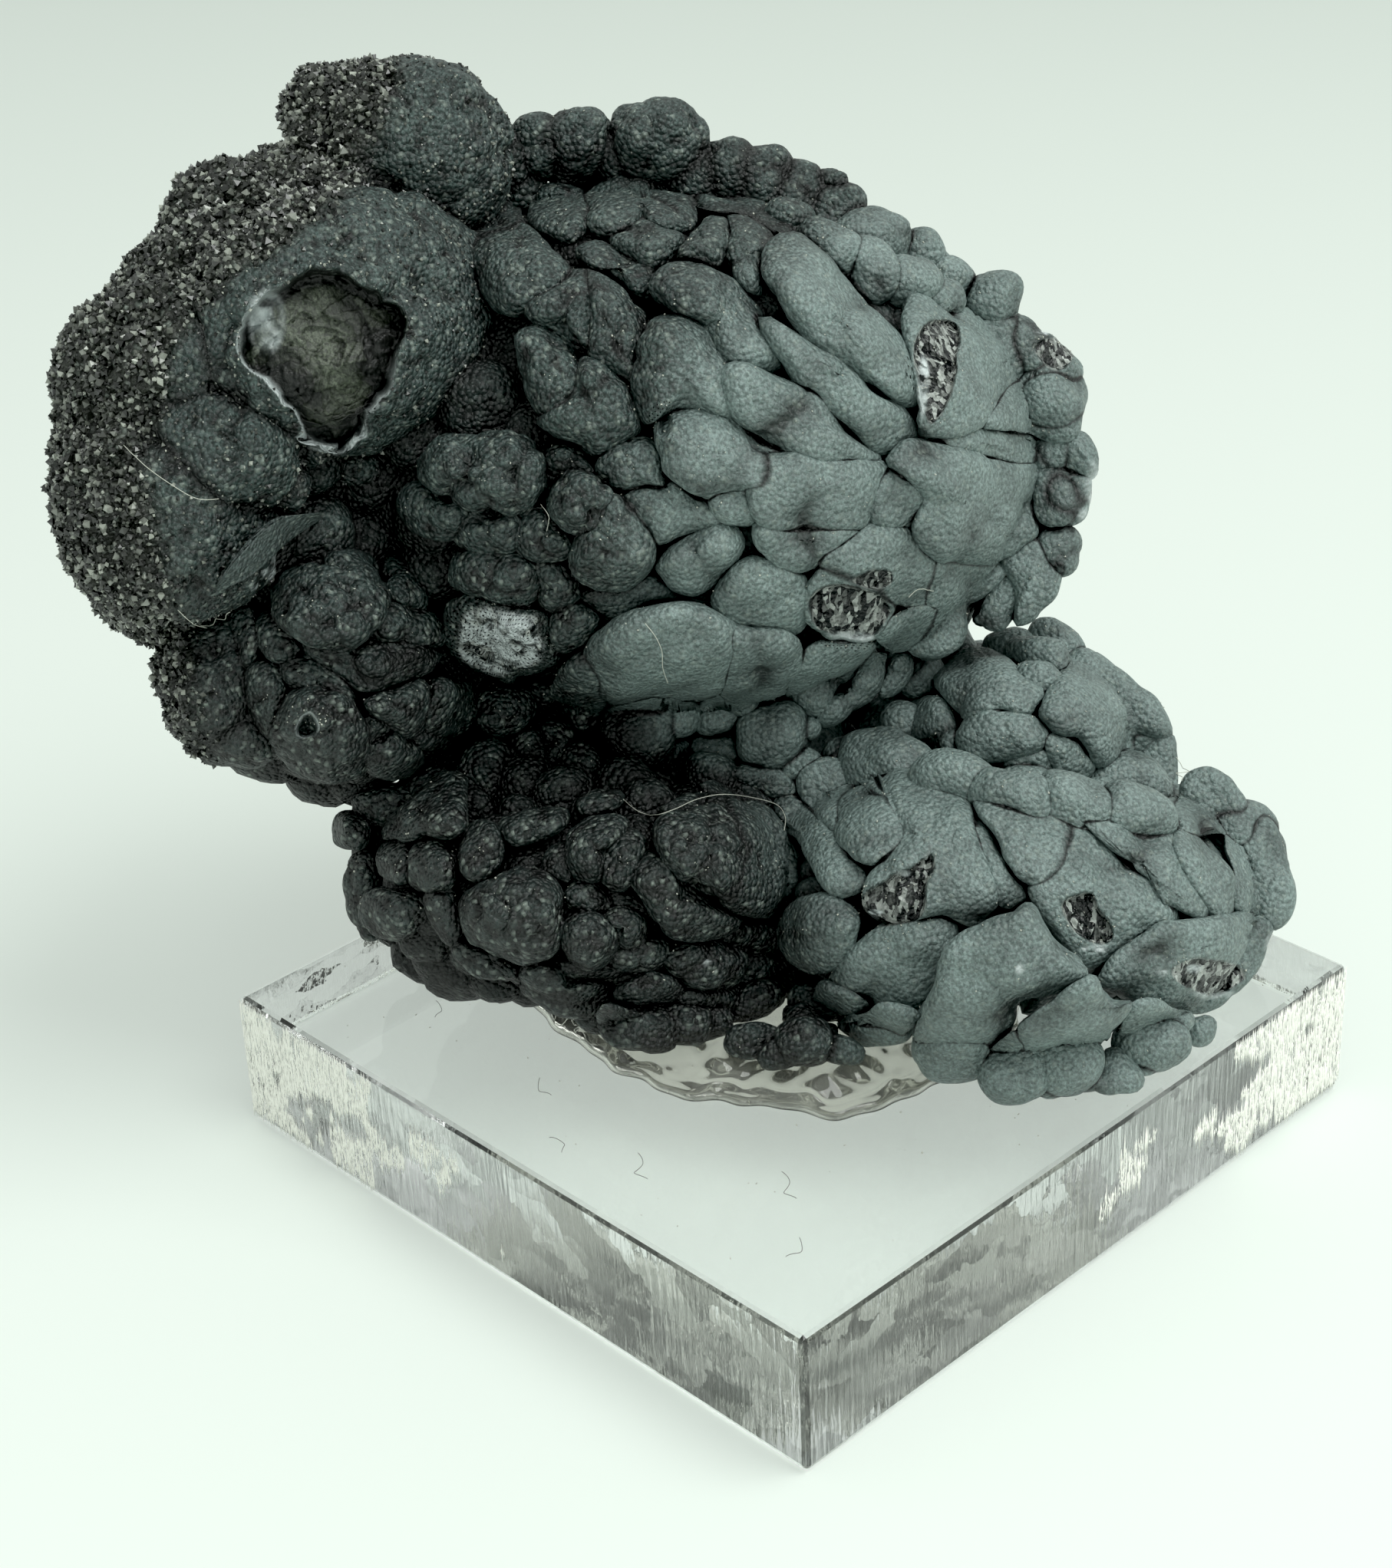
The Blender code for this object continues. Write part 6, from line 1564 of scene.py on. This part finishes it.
def saw_marks_and_light():
    """Points and triangles of the scratches. Their places are random, kept where smooth noise is
    high and with a likelihood that grows with the distance from the front corner."""
    rng = np.random.default_rng(8)
    back = BLOCK_HALF * (2 * rng.random(TRIES) ** 0.5 - 1)
    up = rng.uniform(0.8, BLOCK_TOP - 0.8, len(back))
    left = rng.random(len(back)) < 0.5
    middle = np.where(left[:, None], np.stack([-back, np.full(len(back), -BLOCK_HALF), up], axis=1),
                      np.stack([np.full(len(back), BLOCK_HALF), back, up], axis=1))
    patch = waves(middle * (0.6, 0.6, 1), 3.4, 61) + 0.5 * waves(middle, 1.3, 62)
    kept = np.flatnonzero(patch + 0.05 * back > 1.0)[:SCRATCHES]
    middle, left = middle[kept], left[kept]
    count = len(middle)
    tall = (SCRATCH_HEIGHT[0] + SCRATCH_HEIGHT[1] * rng.random(count) ** 3)[:, None] * np.array([0, 0, 1])
    tall *= np.minimum(1, np.minimum(middle[:, 2], BLOCK_TOP - middle[:, 2]) / tall[:, 2])[:, None]
    side = np.where(left[:, None], (1, 0, 0), (0, 1, 0))
    wide = side * (SCRATCH_WIDTH[0] + SCRATCH_WIDTH[1] * rng.random((count, 1)))
    return double_pyramids(middle, tall, wide, SCRATCH_DEPTH * np.where(left[:, None], (0, -1, 0), (1, 0, 0)))


scratch_points, scratch_faces = saw_marks_and_light()
scratches = mesh_piece("saw_marks_and_light", scratch_points * MM, scratch_faces)
# Scratched acrylic scatters light, so it looks white; crowded at the far ends, it is also painted light
frosted_lit_acrylic = new_material("frosted_lit_acrylic", Base_Color=linear("#fffef6"), Roughness=0.35)[0]
scratches.data.materials.append(frosted_lit_acrylic)
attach(scratches, "root")

# Stage: a pale paper floor, a soft light high on the right and the camera of the photo
FLOOR_DROP = 0.0003
FLOOR_HALF = 3
# Painted light: the floor's glow near the front, at the back, and under the block
GLOW_NEAR = 0.44
GLOW_FAR = 0.07
GLOW_UNDER = 0.16
corners = ((-1, -1), (1, -1), (1, 1), (-1, 1))
floor_corners = np.array([(x * FLOOR_HALF, y * FLOOR_HALF, -FLOOR_DROP) for x, y in corners])
floor = mesh_piece("floor", floor_corners, np.array([[0, 1, 2, 3]]))


def lit_paper():
    """Pale paper that glows a little as painted light, as on a light table, less so towards the back, and
    with a painted pool of light under the block, where the clear plastic gathers light."""
    material, shader = new_material("pale_paper", Base_Color=linear("#bdc4be"), Roughness=0.6,
                                    Emission_Color=linear("#eef5ef"))
    place = add_node(material, "TexCoord").outputs["Object"]
    away = add_node(material, "VectorMath", {0: place, 1: (-0.55, 0.86, 0)},
                    operation="DOT_PRODUCT").outputs["Value"]
    glow = add_node(material, "MapRange", {0: away, 1: -0.2, 2: 0.75, 3: GLOW_NEAR, 4: GLOW_FAR}).outputs[0]
    apart = add_node(material, "VectorMath", {0: place}, operation="ABSOLUTE").outputs[0]
    x, y = add_node(material, "SeparateXYZ", {0: apart}).outputs[:2]
    reach = add_node(material, "Math", {0: x, 1: y}, operation="MAXIMUM").outputs[0]
    under = add_node(material, "MapRange", {0: reach, 1: 0.0395, 2: 0.04, 3: GLOW_UNDER, 4: 0.0}).outputs[0]
    total = add_node(material, "Math", {0: glow, 1: under}, operation="ADD").outputs[0]
    material.node_tree.links.new(total, shader.inputs["Emission Strength"])
    return material


floor.data.materials.append(lit_paper())

WORLD_COLOUR = "#ecf4ee"
WORLD_STRENGTH = 0.74
AIM = Vector((0, 0, 0.05))
KEY_POWER = 4.2
FRONT_POWER = 0.4
world = bpy.data.worlds.new("soft_room")
world.use_nodes = True
background = world.node_tree.nodes["Background"]
background.inputs["Color"].default_value = linear(WORLD_COLOUR)
background.inputs["Strength"].default_value = WORLD_STRENGTH
bpy.context.scene.world = world


def soft_light(name, place, size, power, colour):
    """A square area light aimed at the middle of the object."""
    lamp = bpy.data.lights.new(name, "AREA")
    lamp.shape = "RECTANGLE"
    lamp.size = lamp.size_y = size
    lamp.energy = power
    lamp.color = linear(colour)[:3]
    light = bpy.data.objects.new(name, lamp)
    light.location = place
    light.rotation_euler = (AIM - Vector(place)).to_track_quat("-Z", "Y").to_euler()
    bpy.context.scene.collection.objects.link(light)


soft_light("key", (0.30, 0.14, 0.72), 0.5, KEY_POWER, "#fbfffc")
soft_light("front", (0.55, -0.30, 0.45), 0.4, FRONT_POWER, "#f4fffb")

# The camera stands at the viewer's eye. The black level matches the photo's deepest shadows
BLACK_LEVEL = 0.006
LENS = 70.23
SENSOR = 36
camera_data = bpy.data.cameras.new("camera")
camera_data.sensor_width = SENSOR
camera_data.lens = LENS
camera = bpy.data.objects.new("camera", camera_data)
camera.matrix_world = Matrix.Translation(EYE * MM) @ Matrix(VIEW.tolist()).to_4x4()
bpy.context.scene.collection.objects.link(camera)
bpy.context.scene.camera = camera
view = bpy.context.scene.view_settings
view.view_transform = "Standard"
view.use_curve_mapping = True
view.curve_mapping.black_level = [BLACK_LEVEL] * 3
view.curve_mapping.update()
